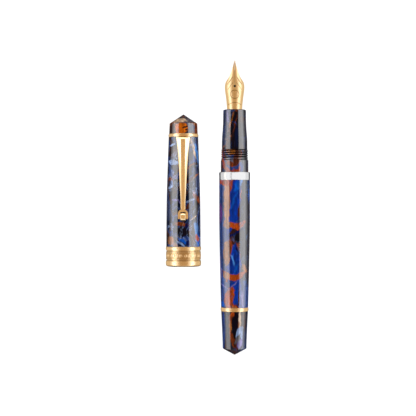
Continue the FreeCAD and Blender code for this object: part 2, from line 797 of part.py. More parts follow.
def clip_axle():
    length = 2 * (FORK_R - 0.03)
    return Part.makeCylinder(AXLE_R, length, Vector(-length / 2, WHEEL_Y, WHEEL_HEIGHT), Vector(1, 0, 0))


# ---------------------------------------------------------------- export
PEN_PIECES = [
    section,
    section_oring,
    nib,
    tipping_left,
    tipping_right,
    feed,
    nib_housing,
    converter_tube,
    converter_ferrule,
    converter_guide,
    converter_knob,
    piston_rod,
    piston_seal,
    barrel_neck,
    barrel_ring,
    barrel,
    tail_bush,
    tail_ring,
    blind_cap,
]
CAP_PIECES = [
    cap_tube,
    cap_band,
    cap_liner,
    cap_crown,
    crown_stud,
    crown_ring,
    clip,
    clip_wheel,
    clip_axle,
]


def export(piece, place):
    shape = place(piece())
    solids = shape.Solids
    sound = shape.isValid() and all(s.isValid() and s.Volume > 0 for s in solids)
    state = "ok" if sound else "BAD"
    print(f"{piece.__name__:18s} solids {len(solids)}  volume {shape.Volume:9.3f} mm3  {state}")
    shape.exportStep(f"parts/{piece.__name__}.step")


for piece in PEN_PIECES:
    export(piece, on_pen)
for piece in CAP_PIECES:
    export(piece, on_cap)
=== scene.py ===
"""Looks of the fountain pen: smooth turned pieces, engraved nib and band, marbled resin and gilt metal.

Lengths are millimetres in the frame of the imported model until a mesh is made, which is in metres.
The pen's axis and the cap's axis both run along Y.
"""

import math

import bmesh
import bpy
from mathutils import Matrix, Vector


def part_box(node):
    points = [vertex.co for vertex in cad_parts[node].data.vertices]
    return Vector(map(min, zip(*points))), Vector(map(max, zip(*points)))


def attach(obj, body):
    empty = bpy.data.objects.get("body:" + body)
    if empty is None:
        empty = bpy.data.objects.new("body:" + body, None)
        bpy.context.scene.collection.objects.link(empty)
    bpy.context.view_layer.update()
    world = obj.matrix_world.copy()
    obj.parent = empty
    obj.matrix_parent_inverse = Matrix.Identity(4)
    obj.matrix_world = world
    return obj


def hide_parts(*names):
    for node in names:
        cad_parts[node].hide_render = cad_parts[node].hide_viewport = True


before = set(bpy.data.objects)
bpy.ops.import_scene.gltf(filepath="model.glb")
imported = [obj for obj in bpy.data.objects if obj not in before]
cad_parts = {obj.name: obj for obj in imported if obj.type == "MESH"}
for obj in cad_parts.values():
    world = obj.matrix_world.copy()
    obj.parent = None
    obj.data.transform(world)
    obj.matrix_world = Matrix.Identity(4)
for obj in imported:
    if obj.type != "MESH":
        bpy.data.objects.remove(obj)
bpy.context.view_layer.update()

MM = 0.001


# ---- places read from the frame
def box_mm(node):
    low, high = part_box(node)
    return [value / MM for value in low], [value / MM for value in high]


def axis_of(node):
    """(x, z) of the middle of a turned node."""
    low, high = box_mm(node)
    return (low[0] + high[0]) / 2, (low[2] + high[2]) / 2


def ends(node):
    """(rear, front) of a node along Y."""
    low, high = box_mm(node)
    return low[1], high[1]


def radius_of(node):
    low, high = box_mm(node)
    return (high[0] - low[0]) / 2


PEN = axis_of("barrel")
CAP = axis_of("cap_band")
BARREL_REAR, BARREL_FRONT = ends("barrel")
RING_FRONT = ends("barrel_ring")[1]
NECK_REAR, NECK_FRONT = ends("barrel_neck")
SECTION_REAR, SECTION_FRONT = ends("section")
NIB_REAR = ends("nib")[0]
NIB_TIP = ends("tipping_left")[1]
TAIL_RING_REAR = ends("tail_ring")[0]
TAIL_POINT = ends("blind_cap")[0]
CAP_MOUTH, BAND_TOP = ends("cap_band")
CAP_TOP = ends("cap_tube")[1]
CROWN_BASE, CROWN_POINT = ends("cap_crown")
WHEEL_X, WHEEL_Z = axis_of("clip_wheel")
WHEEL_Y = sum(ends("clip_wheel")) / 2

BARREL_R = radius_of("barrel")
RING_R = radius_of("barrel_ring")
BAND_R = radius_of("cap_band")
CROWN_R = radius_of("cap_crown")
TAIL_R = radius_of("blind_cap")
CROWN_RING_R = radius_of("crown_ring")
TAIL_RING_R = radius_of("tail_ring")
WHEEL_R = (ends("clip_wheel")[1] - ends("clip_wheel")[0]) / 2

STUD_R = 1.97  # bore for the stud that holds crown, ring and cap together


# ---- outlines
def rounded(corners, steps=4):
    """Closed or open outline from (r, y) or (r, y, fillet) corners, each fillet as a short arc."""
    outline = []
    count = len(corners)
    for i, corner in enumerate(corners):
        here = Vector(corner[:2])
        fillet = corner[2] if len(corner) > 2 else 0
        if not fillet:
            outline.append(tuple(here))
            continue
        before = (Vector(corners[i - 1][:2]) - here).normalized()
        after = (Vector(corners[(i + 1) % count][:2]) - here).normalized()
        half = before.angle(after) / 2
        reach = fillet / math.tan(half)
        centre = here + (before + after).normalized() * fillet / math.sin(half)
        start, end = here + before * reach - centre, here + after * reach - centre
        sweep = start.angle_signed(end)
        for k in range(steps + 1):
            turn = -sweep * k / steps
            c, s = math.cos(turn), math.sin(turn)
            outline.append((centre.x + c * start.x - s * start.y, centre.y + s * start.x + c * start.y))
    return outline


def between(p, q, r, s, t):
    """Value at t, 0 to 1, on the way from q to r, with neighbours p and s (Catmull-Rom)."""
    return 0.5 * (2 * q + (r - p) * t + (2 * p - 5 * q + 4 * r - s) * t**2 + (3 * q - p - 3 * r + s) * t**3)


def smooth(points, steps=6):
    """Points along a curve through the given ones."""
    padded = [points[0], *points, points[-1]]
    curve = []
    for four in zip(padded, padded[1:], padded[2:], padded[3:]):
        for k in range(steps):
            curve.append(tuple(between(*values, k / steps) for values in zip(*four)))
    curve.append(points[-1])
    return curve


def bead(radius, low, high, crest, steps=10):
    """Half-round rim from low to high that rises from radius to crest."""
    return [
        (radius + (crest - radius) * math.sin(math.pi * k / steps), low + (high - low) * k / steps)
        for k in range(steps + 1)
    ]


def mirrored(side, low, high):
    """Corners of a ring with like ends, from the (r, distance from the end, fillet) of one end."""
    near = [(r, low + away, *fillet) for r, away, *fillet in side]
    return near + [(r, high - away, *fillet) for r, away, *fillet in side[::-1]]


def even(radius, low, high, step=0.09):
    """Closely spaced points along a cylinder, for a thread to be cut in."""
    count = max(2, round(abs(high - low) / step))
    return [(radius, low + (high - low) * k / count) for k in range(count + 1)]


# ---- meshes
def finish_mesh(name, mesh_data, sharp=35):
    """Object from a bmesh in millimetres: outward normals, smooth faces and sharp edges over an angle."""
    bmesh.ops.scale(mesh_data, vec=(MM, MM, MM), verts=mesh_data.verts)
    bmesh.ops.recalc_face_normals(mesh_data, faces=mesh_data.faces)
    mesh = bpy.data.meshes.new(name)
    mesh_data.to_mesh(mesh)
    mesh_data.free()
    mesh.shade_smooth()
    mesh.set_sharp_from_angle(angle=math.radians(sharp))
    obj = bpy.data.objects.new(name, mesh)
    bpy.context.scene.collection.objects.link(obj)
    return obj


def bridge(mesh, low, high):
    """Faces between two closed rings of as many points."""
    for k in range(len(low)):
        j = (k + 1) % len(low)
        mesh.faces.new((low[k], low[j], high[j], high[k]))


def lathe(name, outline, centre, segments=160, relief=None, sharp=35):
    """Closed surface of revolution. relief(angle, r, y) is added to the radius, for threads and ornament."""
    mesh = bmesh.new()
    rings = []
    for r, y in outline:
        if r < 1e-6:
            rings.append([mesh.verts.new((centre[0], y, centre[1]))])
            continue
        ring = []
        for k in range(segments):
            angle = 2 * math.pi * k / segments
            radius = r + relief(angle, r, y) if relief else r
            across, up = radius * math.sin(angle), radius * math.cos(angle)
            ring.append(mesh.verts.new((centre[0] + across, y, centre[1] + up)))
        rings.append(ring)
    for low, high in zip(rings, rings[1:] + rings[:1]):
        if len(low) == 1 and len(high) == 1:
            continue
        if len(low) > 1 and len(high) > 1:
            bridge(mesh, low, high)
            continue
        for k in range(segments):
            j = (k + 1) % segments
            mesh.faces.new((low[0], high[j], high[k]) if len(low) == 1 else (low[k], low[j], high[0]))
    return finish_mesh(name, mesh, sharp)


def helix_relief(bands):
    """Screw threads: each band is (radius, low, high, pitch, depth), cut inwards if depth is negative."""

    def relief(angle, r, y):
        total = 0.0
        for radius, low, high, pitch, depth in bands:
            if abs(r - radius) > 0.02 or not low < y < high:
                continue
            phase = (y / pitch - angle / (2 * math.pi)) % 1
            wave = 1 - abs(2 * phase - 1)
            profile = min(1, max(0, 1.5 * wave - 0.25))  # flat crests and roots
            run_out = 0.6 * pitch
            total += depth * profile * min(1, (y - low) / run_out, (high - y) / run_out)
        return total

    return relief


def boolean(obj, other, operation):
    """Joins an object with another one or cuts it, and keeps the result as plain mesh."""
    modifier = obj.modifiers.new("boolean", "BOOLEAN")
    modifier.operation = operation
    modifier.solver = "EXACT"
    modifier.object = other
    apply_modifiers(obj)
    bpy.data.objects.remove(other)


def apply_modifiers(obj):
    evaluated = obj.evaluated_get(bpy.context.evaluated_depsgraph_get())
    mesh = bpy.data.meshes.new_from_object(evaluated)
    obj.modifiers.clear()
    obj.data = mesh


def block_object(name, axis, half_width, y, z):
    """Block centred on an axis along Y, from one y to another and between two heights over the axis."""
    mesh = bmesh.new()
    bmesh.ops.create_cube(mesh, size=1)
    bmesh.ops.scale(mesh, vec=(2 * half_width, y[1] - y[0], z[1] - z[0]), verts=mesh.verts)
    bmesh.ops.translate(mesh, vec=(axis[0], sum(y) / 2, axis[1] + sum(z) / 2), verts=mesh.verts)
    return finish_mesh(name, mesh)


# ---- material helpers
class Shader:
    """Short-hand for building a node tree."""

    def __init__(self, name):
        self.material = bpy.data.materials.new(name)
        self.material.use_nodes = True
        self.tree = self.material.node_tree
        self.tree.nodes.clear()
        self.output = self.node("OutputMaterial")
        self.bsdf = self.node("BsdfPrincipled")
        self.link(self.bsdf.outputs[0], self.output.inputs["Surface"])

    def node(self, kind, inputs=(), **settings):
        """New node with its settings, and with links or constants for (input, value) pairs."""
        made = self.tree.nodes.new("ShaderNode" + kind)
        for key, value in settings.items():
            setattr(made, key, value)
        for key, value in inputs:
            self.put(made.inputs[key], value)
        return made

    def link(self, source, target):
        self.tree.links.new(source, target)

    def put(self, target, value):
        """Links a socket, or sets a constant."""
        if isinstance(value, bpy.types.NodeSocket):
            self.link(value, target)
        elif isinstance(value, (tuple, list)) and target.type == "RGBA" and len(value) == 3:
            target.default_value = (*value, 1)
        else:
            target.default_value = value

    def math(self, operation, *values):
        return self.node("Math", enumerate(values), operation=operation).outputs[0]

    def vector(self, operation, *values):
        made = self.node("VectorMath", enumerate(values), operation=operation)
        return made.outputs["Value" if operation in ("LENGTH", "DOT_PRODUCT") else "Vector"]

    def mapping(self, vector, location=(0, 0, 0), rotation=(0, 0, 0), scale=(1, 1, 1)):
        return self.node("Mapping", enumerate((vector, location, rotation, scale))).outputs[0]

    def noise(self, vector, scale, detail, rough=0.5, output="Fac"):
        inputs = ("Vector", vector), ("Scale", scale), ("Detail", detail), ("Roughness", rough)
        return self.node("TexNoise", inputs).outputs[output]

    def shift(self, colour, reach):
        """Displacement of up to half the reach either way, from a colour of noise."""
        return self.vector("MULTIPLY", self.vector("SUBTRACT", colour, (0.5,) * 3), (reach,) * 3)

    def ramp(self, value, stops):
        made = self.node("ValToRGB")
        made.color_ramp.interpolation = "EASE"
        elements = made.color_ramp.elements
        while len(elements) < len(stops):
            elements.new(1.0)
        for element, (place, colour) in zip(elements, stops):
            element.position = place
            element.color = (*colour, 1)
        self.put(made.inputs[0], value)
        return made.outputs["Color"]

    def product(self, first, *others):
        for value in others:
            first = self.math("MULTIPLY", first, value)
        return first

    def mix(self, factor, below, above, blend="MIX"):
        inputs = ("Factor", factor), (6, below), (7, above)
        return self.node("Mix", inputs, data_type="RGBA", blend_type=blend).outputs[2]

    def millimetres(self, centre=(0, 0, 0)):
        """Object coordinates in millimetres from a point."""
        place = self.node("TexCoord").outputs["Object"]
        return self.mapping(place, tuple(-c for c in centre), scale=(1 / MM, 1 / MM, 1 / MM))

    def smoothstep(self, value, low, high):
        inputs = ("Value", value), ("From Min", low), ("From Max", high)
        made = self.node("MapRange", inputs, interpolation_type="SMOOTHSTEP", clamp=True)
        return made.outputs["Result"]

    def within(self, centre, low, high):
        """1 inside the low radius round an axis along Y, 0 beyond the high one."""
        spot = self.millimetres((centre[0], 0, centre[1]))
        out = self.vector("LENGTH", self.vector("MULTIPLY", spot, (1, 0, 1)))
        return self.smoothstep(out, high, low)

    def bent(self, vector, bend):
        """Vector whose X is less by bend times the square of its Y."""
        across, along, depth = self.node("SeparateXYZ", [(0, vector)]).outputs
        curved = self.math("SUBTRACT", across, self.product(along, along, bend))
        return self.node("CombineXYZ", enumerate((curved, along, depth))).outputs[0]

    def bump(self, height, strength, distance):
        inputs = ("Height", height), ("Strength", strength), ("Distance", distance)
        self.link(self.node("Bump", inputs).outputs[0], self.bsdf.inputs["Normal"])


def wear(mat, spot, roughness, spread):
    """Roughness that varies a little in soft patches and fine polishing marks."""
    patches = mat.noise(spot, 0.35, 3)
    marks = mat.noise(mat.mapping(spot, scale=(6, 0.8, 6)), 2.0, 2)
    both = mat.math("ADD", mat.math("MULTIPLY", patches, 0.6), mat.math("MULTIPLY", marks, 0.4))
    varied = mat.math("MULTIPLY_ADD", both, 2 * spread, roughness - spread)
    mat.put(mat.bsdf.inputs["Roughness"], varied)
    return marks


# ---- resin
LIGHT_SHARE = 2.6  # how much brighter a matt surface comes out than its colour, under these lamps


def shade(red, green, blue):
    """Colour of the resin that looks like this, 0 to 255 a channel, under the lamps."""
    return tuple(max(0.0, (channel / 255) ** 2.2 - 0.004) / LIGHT_SHARE for channel in (red, green, blue))


BLACK = shade(26, 20, 26)
NAVY = shade(14, 22, 66)
INK = shade(20, 25, 46)
SLATE = shade(50, 58, 88)
DEEP = shade(0, 38, 110)
BLUE = shade(0, 52, 138)
ROYAL = shade(8, 76, 165)
SKY = shade(66, 118, 182)
PALE = shade(130, 150, 190)
INDIGO = shade(44, 62, 116)
LILAC = shade(108, 98, 150)
VIOLET = shade(98, 58, 128)
ORANGE = shade(156, 64, 12)
RUST = shade(114, 52, 24)
TANGERINE = shade(186, 92, 16)
PEACH = shade(148, 94, 58)
BROWN = shade(72, 36, 24)
UMBER = shade(48, 28, 26)
AMBER = shade(136, 78, 28)
CREAM = shade(190, 160, 132)
SMOKE = shade(50, 48, 56)
ASH = shade(92, 88, 96)

BARREL_MARBLE = [
    (0.00, BLUE), (0.36, BLUE), (0.40, DEEP), (0.43, INDIGO), (0.455, DEEP), (0.47, RUST), (0.50, ORANGE),
    (0.525, PEACH), (0.54, BROWN), (0.56, INDIGO), (0.59, SMOKE), (0.62, NAVY), (0.66, DEEP), (1.00, BLUE),
]
NECK_MARBLE = [
    (0.00, INK), (0.38, SMOKE), (0.43, SLATE), (0.47, BROWN), (0.50, SMOKE), (0.54, RUST), (0.57, SLATE),
    (0.61, SMOKE), (1.00, BLACK),
]
GRIP_MARBLE = [
    (0.00, INK), (0.40, BLACK), (0.46, INK), (0.50, UMBER), (0.54, BROWN), (0.57, INK), (0.60, SLATE),
    (0.63, INK), (0.68, BLACK), (1.00, INK),
]
TAIL_MARBLE = [
    (0.00, INK), (0.40, SMOKE), (0.44, BROWN), (0.47, BLACK), (0.51, SMOKE), (0.55, INK), (0.59, SMOKE),
    (0.62, SLATE), (1.00, INK),
]
CROWN_MARBLE = [
    (0.00, BROWN), (0.38, AMBER), (0.43, BROWN), (0.48, RUST), (0.52, UMBER), (0.56, ASH), (0.59, SLATE),
    (0.62, SMOKE), (1.00, BROWN),
]
CAP_MARBLE = [
    (0.00, NAVY), (0.34, INK), (0.39, SLATE), (0.42, INDIGO), (0.45, INK), (0.49, BLACK), (0.53, UMBER),
    (0.565, BROWN), (0.59, SMOKE), (0.62, SLATE), (0.65, INDIGO), (0.69, INK), (1.00, BLACK),
]


def resin(name, centre, radius, palette, size, seed, dabs, wisps, share, ior=1.58, lean=0.35, root=None):
    """Polished marbled resin: flowing bands of a warped noise field, single swirls over them, pearly veils.

    size and lean are the scale and the slant of the bands, share is how strongly the veils show.
    A dab is (x, y, half width, half length, turn in degrees, colour) and may have a bend, which curves its
    long axis towards its own right side. x and y are measured from the axis, on the side that faces up.
    root is (low, high): painted shade, the resin gets dark and dull from the high radius down to the low one,
    for the shade that falls in the root of a thread.
    """
    mat = Shader(name)
    spot = mat.millimetres((centre[0], 0, centre[1]))
    drift = mat.noise(spot, 0.12, 1.0, output="Color")
    curl = mat.noise(spot, 0.42, 1.0, output="Color")
    drifted = mat.vector("ADD", spot, mat.shift(drift, 8.0))
    swirled = mat.vector("ADD", drifted, mat.shift(curl, 2.6))
    brushed = mat.vector("ADD", spot, mat.shift(curl, 1.5))
    bands = mat.mapping(swirled, (seed, 2 * seed, 3 * seed), rotation=(0, 0, lean), scale=(1, 0.5, 1))
    colour = mat.ramp(mat.noise(bands, size, 1.0, 0.35), palette)
    # dabs: single swirls with soft, frayed edges
    fringe = mat.noise(mat.mapping(swirled, rotation=(0, 0, 0.4), scale=(1, 0.25, 1)), 1.3, 1.0)
    frayed = mat.math("MULTIPLY_ADD", fringe, 0.26, -0.13)
    for x, y, half_width, half_length, turn, paint, *bend in dabs:
        surface = math.sqrt(max(1.0, radius**2 - x**2))
        local = mat.vector("SUBTRACT", brushed, (x, y, surface))
        turned = mat.mapping(local, rotation=(0, 0, -math.radians(turn)))
        if bend:
            turned = mat.bent(turned, bend[0])
        stretched = mat.vector("MULTIPLY", turned, (1 / half_width, 1 / half_length, 1 / (0.8 * radius)))
        reach = mat.math("ADD", mat.vector("LENGTH", stretched), frayed)
        soft = min(0.5, 0.20 / half_width)
        colour = mat.mix(mat.smoothstep(reach, 1 + soft, 1 - soft), colour, paint)
    # veils: thin wisps where a stretched noise crosses its middle
    veil = mat.mapping(swirled, (3 * seed, seed, seed), rotation=(0, 0, 0.6), scale=(1, 0.30, 1))
    crossing = mat.math("ABSOLUTE", mat.math("SUBTRACT", mat.noise(veil, 0.30, 2.0), 0.5))
    veiled = mat.smoothstep(crossing, 0.040, 0.0)
    where = mat.smoothstep(mat.noise(spot, 0.17, 0.0), 0.48, 0.66)
    colour = mat.mix(mat.product(veiled, where, share), colour, wisps)
    # strokes: long brush marks that lighten and darken the colour
    strokes = mat.mapping(brushed, (seed, 0, 0), rotation=(0, 0, 0.45), scale=(1.6, 0.22, 1.6))
    levels = [(0.34, (0.62,) * 3), (0.50, (1.0,) * 3), (0.66, (1.55,) * 3)]
    colour = mat.mix(1.0, colour, mat.ramp(mat.noise(strokes, 0.62, 1.5), levels), "MULTIPLY")
    # painted shade in the thread's root: darker colour and weaker glints below the given radii
    if root:
        painted_root_shade = mat.within(centre, *root)
        colour = mat.mix(painted_root_shade, colour, tuple(0.4 * channel for channel in BLACK))
        gloss = mat.math("MULTIPLY_ADD", painted_root_shade, -0.45, 0.5)
        mat.put(mat.bsdf.inputs["Specular IOR Level"], gloss)
    mat.put(mat.bsdf.inputs["Base Color"], colour)
    wear(mat, spot, 0.07, 0.02)
    mat.bsdf.inputs["IOR"].default_value = ior
    return mat.material


# ---- metal and plastic
def metal(name, colour, roughness, spread=0.04, grooves=None, painted_recess_shade=None):
    """Polished metal with faint polishing marks. grooves is the colour of its engraved places.

    recess is (axis, low radius, high radius, colour): painted shade, the colour below the low radius, gone at
    the high one.
    """
    mat = Shader(name)
    spot = mat.millimetres()
    marks = wear(mat, spot, roughness, spread)
    tint = mat.mix(mat.math("MULTIPLY", marks, 0.35), colour, tuple(0.82 * c for c in colour))
    if grooves:
        engraved = mat.node("Attribute", attribute_name="engraved").outputs["Fac"]
        tint = mat.mix(engraved, tint, grooves)
    # painted shade: the colour darkens in the sunk places below the given radius
    if painted_recess_shade:
        axis, low, high, dark = painted_recess_shade
        tint = mat.mix(mat.within(axis, low, high), tint, dark)
    mat.put(mat.bsdf.inputs["Base Color"], tint)
    mat.bsdf.inputs["Metallic"].default_value = 1.0
    mat.bump(marks, 0.05, 0.00002)
    return mat.material


def plastic(name, colour, roughness, clear=0.0):
    """Moulded plastic with a slight unevenness."""
    mat = Shader(name)
    spot = mat.millimetres()
    cloud = mat.noise(spot, 0.8, 3)
    tint = mat.mix(cloud, tuple(0.8 * c for c in colour), tuple(1.2 * c for c in colour))
    mat.put(mat.bsdf.inputs["Base Color"], tint)
    marks = wear(mat, spot, roughness, 0.08 if roughness > 0.1 else 0.02)
    mat.bsdf.inputs["Transmission Weight"].default_value = clear
    mat.bump(marks, 0.08, 0.00002)
    return mat.material


# ---- pen: grip, neck, barrel, tail
def section():
    """Grip: screwed tenon with the O-ring's groove, waisted outside, rolled front lip and bore."""
    tenon_r, rear_r, front_r, bore = 4.90, 5.67, 5.07, 3.93
    groove_r, lip, chamfer, arc_steps = tenon_r - 0.55, 0.45, 0.25, 7
    waist = [(5.63, 29.9), (5.48, 32.6), (5.27, 35.2), (5.12, 38.9)]
    outline = [
        *even(bore, NECK_FRONT, SECTION_REAR, 4),
        (tenon_r - chamfer, SECTION_REAR),
        *even(tenon_r, SECTION_REAR + chamfer, NECK_FRONT - 1.0),
        (groove_r, NECK_FRONT - 0.95), (groove_r, NECK_FRONT - 0.25), (tenon_r, NECK_FRONT - 0.2),
        (tenon_r, NECK_FRONT), (rear_r - 0.13, NECK_FRONT), (rear_r - 0.04, NECK_FRONT + 0.04),
        *smooth([(rear_r, NECK_FRONT + 0.15), *waist, (front_r, SECTION_FRONT - 0.5)]),
    ]
    for k in range(1, arc_steps + 1):
        turn = math.pi / 2 * k / arc_steps
        outline.append((front_r - lip * (1 - math.cos(turn)), SECTION_FRONT - lip * (1 - math.sin(turn))))
    outline += [(bore + chamfer, SECTION_FRONT), (bore + 0.06, SECTION_FRONT - 0.06)]
    outline.append((bore, SECTION_FRONT - chamfer))
    relief = helix_relief([(tenon_r, SECTION_REAR - 0.5, NECK_FRONT - 1.3, 0.75, -0.25)])
    return lathe("grip", outline, PEN, relief=relief)


def neck():
    """Collar, thread for the cap, and the tenon that goes into the barrel."""
    bore, tenon_bore, tenon_r, root, crest, collar = 4.95, 4.20, 5.60, 5.74, 6.04, 6.14
    shoulder = 21.4
    outline = [
        (bore, NECK_FRONT), (root - 0.02, NECK_FRONT), *even(crest, NECK_FRONT - 0.2, shoulder + 0.15, 0.07),
        (root, shoulder + 0.1), (root, shoulder - 0.05),
        *rounded([(collar - 0.12, shoulder - 0.17), (collar, shoulder - 0.3, 0.05), (collar, RING_FRONT)]),
        (tenon_r, RING_FRONT), *even(tenon_r, BARREL_FRONT - 1.0, NECK_REAR + 0.3),
        (tenon_r - 0.3, NECK_REAR), (tenon_bore, NECK_REAR), (tenon_bore, NECK_FRONT - 8.4),
        (bore, NECK_FRONT - 8.8),
    ]
    cap_thread = (crest, shoulder, NECK_FRONT + 0.6, 1.0, -0.44)
    barrel_thread = (tenon_r, NECK_REAR - 0.5, BARREL_FRONT - 1.4, 0.75, -0.22)
    return lathe("threaded_neck", outline, PEN, relief=helix_relief([cap_thread, barrel_thread]), sharp=50)


def steel_ring():
    """Ring with a bevel at both ends and a shallow step inside them."""
    inner, bevel, step = 5.62, 0.28, 0.10
    side = [(inner, 0), (RING_R - 0.13, 0, 0.04), (RING_R, bevel, 0.05), (RING_R - 0.05, bevel + step, 0.03)]
    return lathe("steel_ring", rounded(mirrored(side, BARREL_FRONT, RING_FRONT)), PEN)


def barrel():
    straight_end, rear_r, steps = -4.0, 6.04, 24
    front_bore, rear_bore, bore = 5.63, 5.30, 4.90
    front_socket, rear_socket = BARREL_FRONT - 8.3, BARREL_REAR + 5.0
    drop, length = BARREL_R - rear_r, BARREL_REAR - straight_end
    shares = [k / steps for k in range(1, steps)]
    taper = [(BARREL_R - drop * share**1.4, straight_end + length * share) for share in shares]
    front = rounded([(BARREL_R - 0.3, BARREL_FRONT), (BARREL_R, BARREL_FRONT, 0.1), (BARREL_R, straight_end)])
    outline = [
        (bore, front_socket), (front_bore, front_socket), (front_bore, BARREL_FRONT), *front[1:], *taper,
        (rear_r, BARREL_REAR + 0.08), (rear_r - 0.05, BARREL_REAR), (rear_bore, BARREL_REAR),
        (rear_bore, rear_socket), (bore, rear_socket),
    ]
    return lathe("barrel_shell", outline, PEN)


def tail_ring():
    inner, rim = 4.83, TAIL_RING_R - 0.16
    crest = bead(rim, TAIL_RING_REAR, BARREL_REAR, TAIL_RING_R)
    return lathe("tail_band", [(inner, TAIL_RING_REAR), *crest, (inner, BARREL_REAR)], PEN)


def tail():
    """Tail piece: gently waisted, with a blunt cone behind and a stepped bore in front."""
    rear_r, shoulder, socket = 5.31, TAIL_POINT + 2.86, 4.86
    bore, socket_end, bore_end = 4.1, -51.3, -60.2
    waist = [(5.77, -50.3), (5.57, -54.8), (5.40, -59.0)]
    outline = [
        (socket, TAIL_RING_REAR), (TAIL_R - 0.15, TAIL_RING_REAR), (TAIL_R - 0.04, TAIL_RING_REAR - 0.04),
        *smooth([(TAIL_R, TAIL_RING_REAR - 0.15), *waist, (rear_r, shoulder + 0.25)]),
        (rear_r - 0.02, shoulder + 0.08), (rear_r - 0.10, shoulder - 0.04), (rear_r - 0.24, shoulder - 0.13),
        (0.35, TAIL_POINT + 0.13), (0.18, TAIL_POINT + 0.05), (0, TAIL_POINT),
        (0, bore_end), (bore - 0.5, bore_end), (bore, bore_end + 0.5), (bore, socket_end),
        (socket, socket_end),
    ]
    return lathe("tail_piece", outline, PEN)


# ---- nib
NIB_STATIONS = [
    # distance from the tip, half width seen from above, height of the ridge over the axis, depth of the curve
    (0.35, 0.27, 1.30, 0.03),
    (1.5, 0.46, 1.46, 0.06),
    (3.3, 0.98, 1.76, 0.20),
    (5.1, 1.57, 2.08, 0.45),
    (6.9, 2.26, 2.38, 0.86),
    (8.2, 3.02, 2.58, 1.36),
    (9.1, 3.66, 2.71, 1.85),
    (10.0, 4.08, 2.84, 2.25),
    (11.8, 4.36, 3.05, 2.60),
    (14.0, 4.17, 3.22, 2.72),
    (16.7, 3.80, 3.32, 2.80),
    (19.8, 3.48, 3.37, 2.86),
    (22.0, 3.33, 3.37, 2.85),
]
HOLE_FROM_TIP = 11.55
HOLE_R = 0.55


def line_mask(distance, width):
    """1 on a line, 0 beyond its width."""
    return max(0.0, 1 - (distance / width) ** 2)


def nib_engraving(x, from_tip):
    """Depth, 0 to 1, of the nib's engraving: mirrored leaves, a ring below the hole and an arc."""
    side = abs(x)
    width = 0.20
    depth = 0.0
    # stem of the leaves, from the hole's side out to the shoulder, with leaflets along it
    for k in range(4):
        start_x, start_y = 1.05 + 0.50 * k, 8.2 + 0.62 * k
        reach = 1.25 - 0.12 * k
        along = ((side - start_x) * 0.55 + (from_tip - start_y) * 0.83) / reach
        if 0 < along < 1:
            across = (side - start_x) * 0.83 - (from_tip - start_y) * 0.55 - 0.28 * math.sin(math.pi * along)
            depth = max(depth, line_mask(across, width))
    stem = from_tip - 7.3 - 1.28 * (side - 0.7)
    if 0.75 < side < 3.1:
        depth = max(depth, line_mask(0.62 * stem, width))
        depth = max(depth, 0.8 * line_mask(0.62 * (stem - 2.6), width))
    # ring with a small star below the hole
    radius = math.hypot(side, from_tip - 15.2)
    depth = max(depth, line_mask(radius - 1.85, width))
    if radius < 1.5:
        petal = 0.55 + 0.45 * math.cos(6 * math.atan2(side, from_tip - 15.2))
        depth = max(depth, 0.7 * line_mask(radius - petal * 1.25, 0.16))
    # arc across the heel
    depth = max(depth, line_mask(from_tip - 18.9 - 0.10 * side * side, width) if side < 2.9 else 0)
    return depth


def nib():
    """Curved sheet of gold, closed all round, then cut by the slit and the breather hole."""
    stations = smooth(NIB_STATIONS, 14)
    tail_length = NIB_TIP - 22.0 - NIB_REAR
    heel = stations[-1]
    stations += [(heel[0] + tail_length * k / 6, *heel[1:]) for k in range(1, 7)]
    across = 96
    mesh = bmesh.new()
    layer = mesh.verts.layers.float.new("engraved")
    rings = []
    for from_tip, half_width, ridge, depth in stations:
        outer = (half_width**2 + depth**2) / (2 * depth)
        centre = ridge - outer
        swing = math.asin(min(1, half_width / outer))
        if depth > half_width:
            swing = math.pi - swing
        thick = 0.42 - 0.12 * max(0, 1 - from_tip / 8)
        ring = []
        for face in (0, 1):
            for k in range(across + 1):
                share = k / across if face == 0 else 1 - k / across
                angle = swing * (2 * share - 1)
                cut = 0.0
                if face == 0 and from_tip < 21.5:
                    cut = nib_engraving(outer * math.sin(angle), from_tip)
                radius = outer - 0.035 * cut if face == 0 else outer - thick
                x, z = PEN[0] + radius * math.sin(angle), PEN[1] + centre + radius * math.cos(angle)
                vert = mesh.verts.new((x, NIB_TIP - from_tip, z))
                vert[layer] = cut
                ring.append(vert)
        rings.append(ring)
    count = len(rings[0])
    for low, high in zip(rings, rings[1:]):
        bridge(mesh, low, high)
    for ring in (rings[0], rings[-1]):
        for k in range(across):
            mesh.faces.new((ring[k], ring[k + 1], ring[count - 2 - k], ring[count - 1 - k]))
    sheet = finish_mesh("nib_sheet", mesh, sharp=50)
    hole = bmesh.new()
    bmesh.ops.create_cone(
        hole, cap_ends=True, segments=40, radius1=HOLE_R, radius2=HOLE_R, depth=3,
        matrix=Matrix.Translation((PEN[0], NIB_TIP - HOLE_FROM_TIP, PEN[1] + 3.2)),
    )
    boolean(sheet, finish_mesh("hole", hole), "DIFFERENCE")
    half_slit = 0.05
    slit = block_object("slit", PEN, half_slit, (NIB_TIP - HOLE_FROM_TIP, NIB_TIP + 1), (0, 4))
    boolean(sheet, slit, "DIFFERENCE")
    return sheet


def tipping(name, side):
    """One half of the round pellet at the nib's point."""
    radius, half_slit = 0.37, 0.045
    mesh = bmesh.new()
    bmesh.ops.create_uvsphere(mesh, u_segments=40, v_segments=24, radius=radius)
    bmesh.ops.translate(mesh, vec=(0, NIB_TIP - radius, 1.06), verts=mesh.verts)
    cut = bmesh.ops.bisect_plane(
        mesh, geom=mesh.verts[:] + mesh.edges[:] + mesh.faces[:], plane_co=(side * half_slit, 0, 0),
        plane_no=(side, 0, 0), clear_inner=True,
    )
    rim = [part for part in cut["geom_cut"] if isinstance(part, bmesh.types.BMEdge)]
    bmesh.ops.contextual_create(mesh, geom=rim)
    bmesh.ops.translate(mesh, vec=(PEN[0], 0, PEN[1]), verts=mesh.verts)
    return finish_mesh(name, mesh, sharp=60)


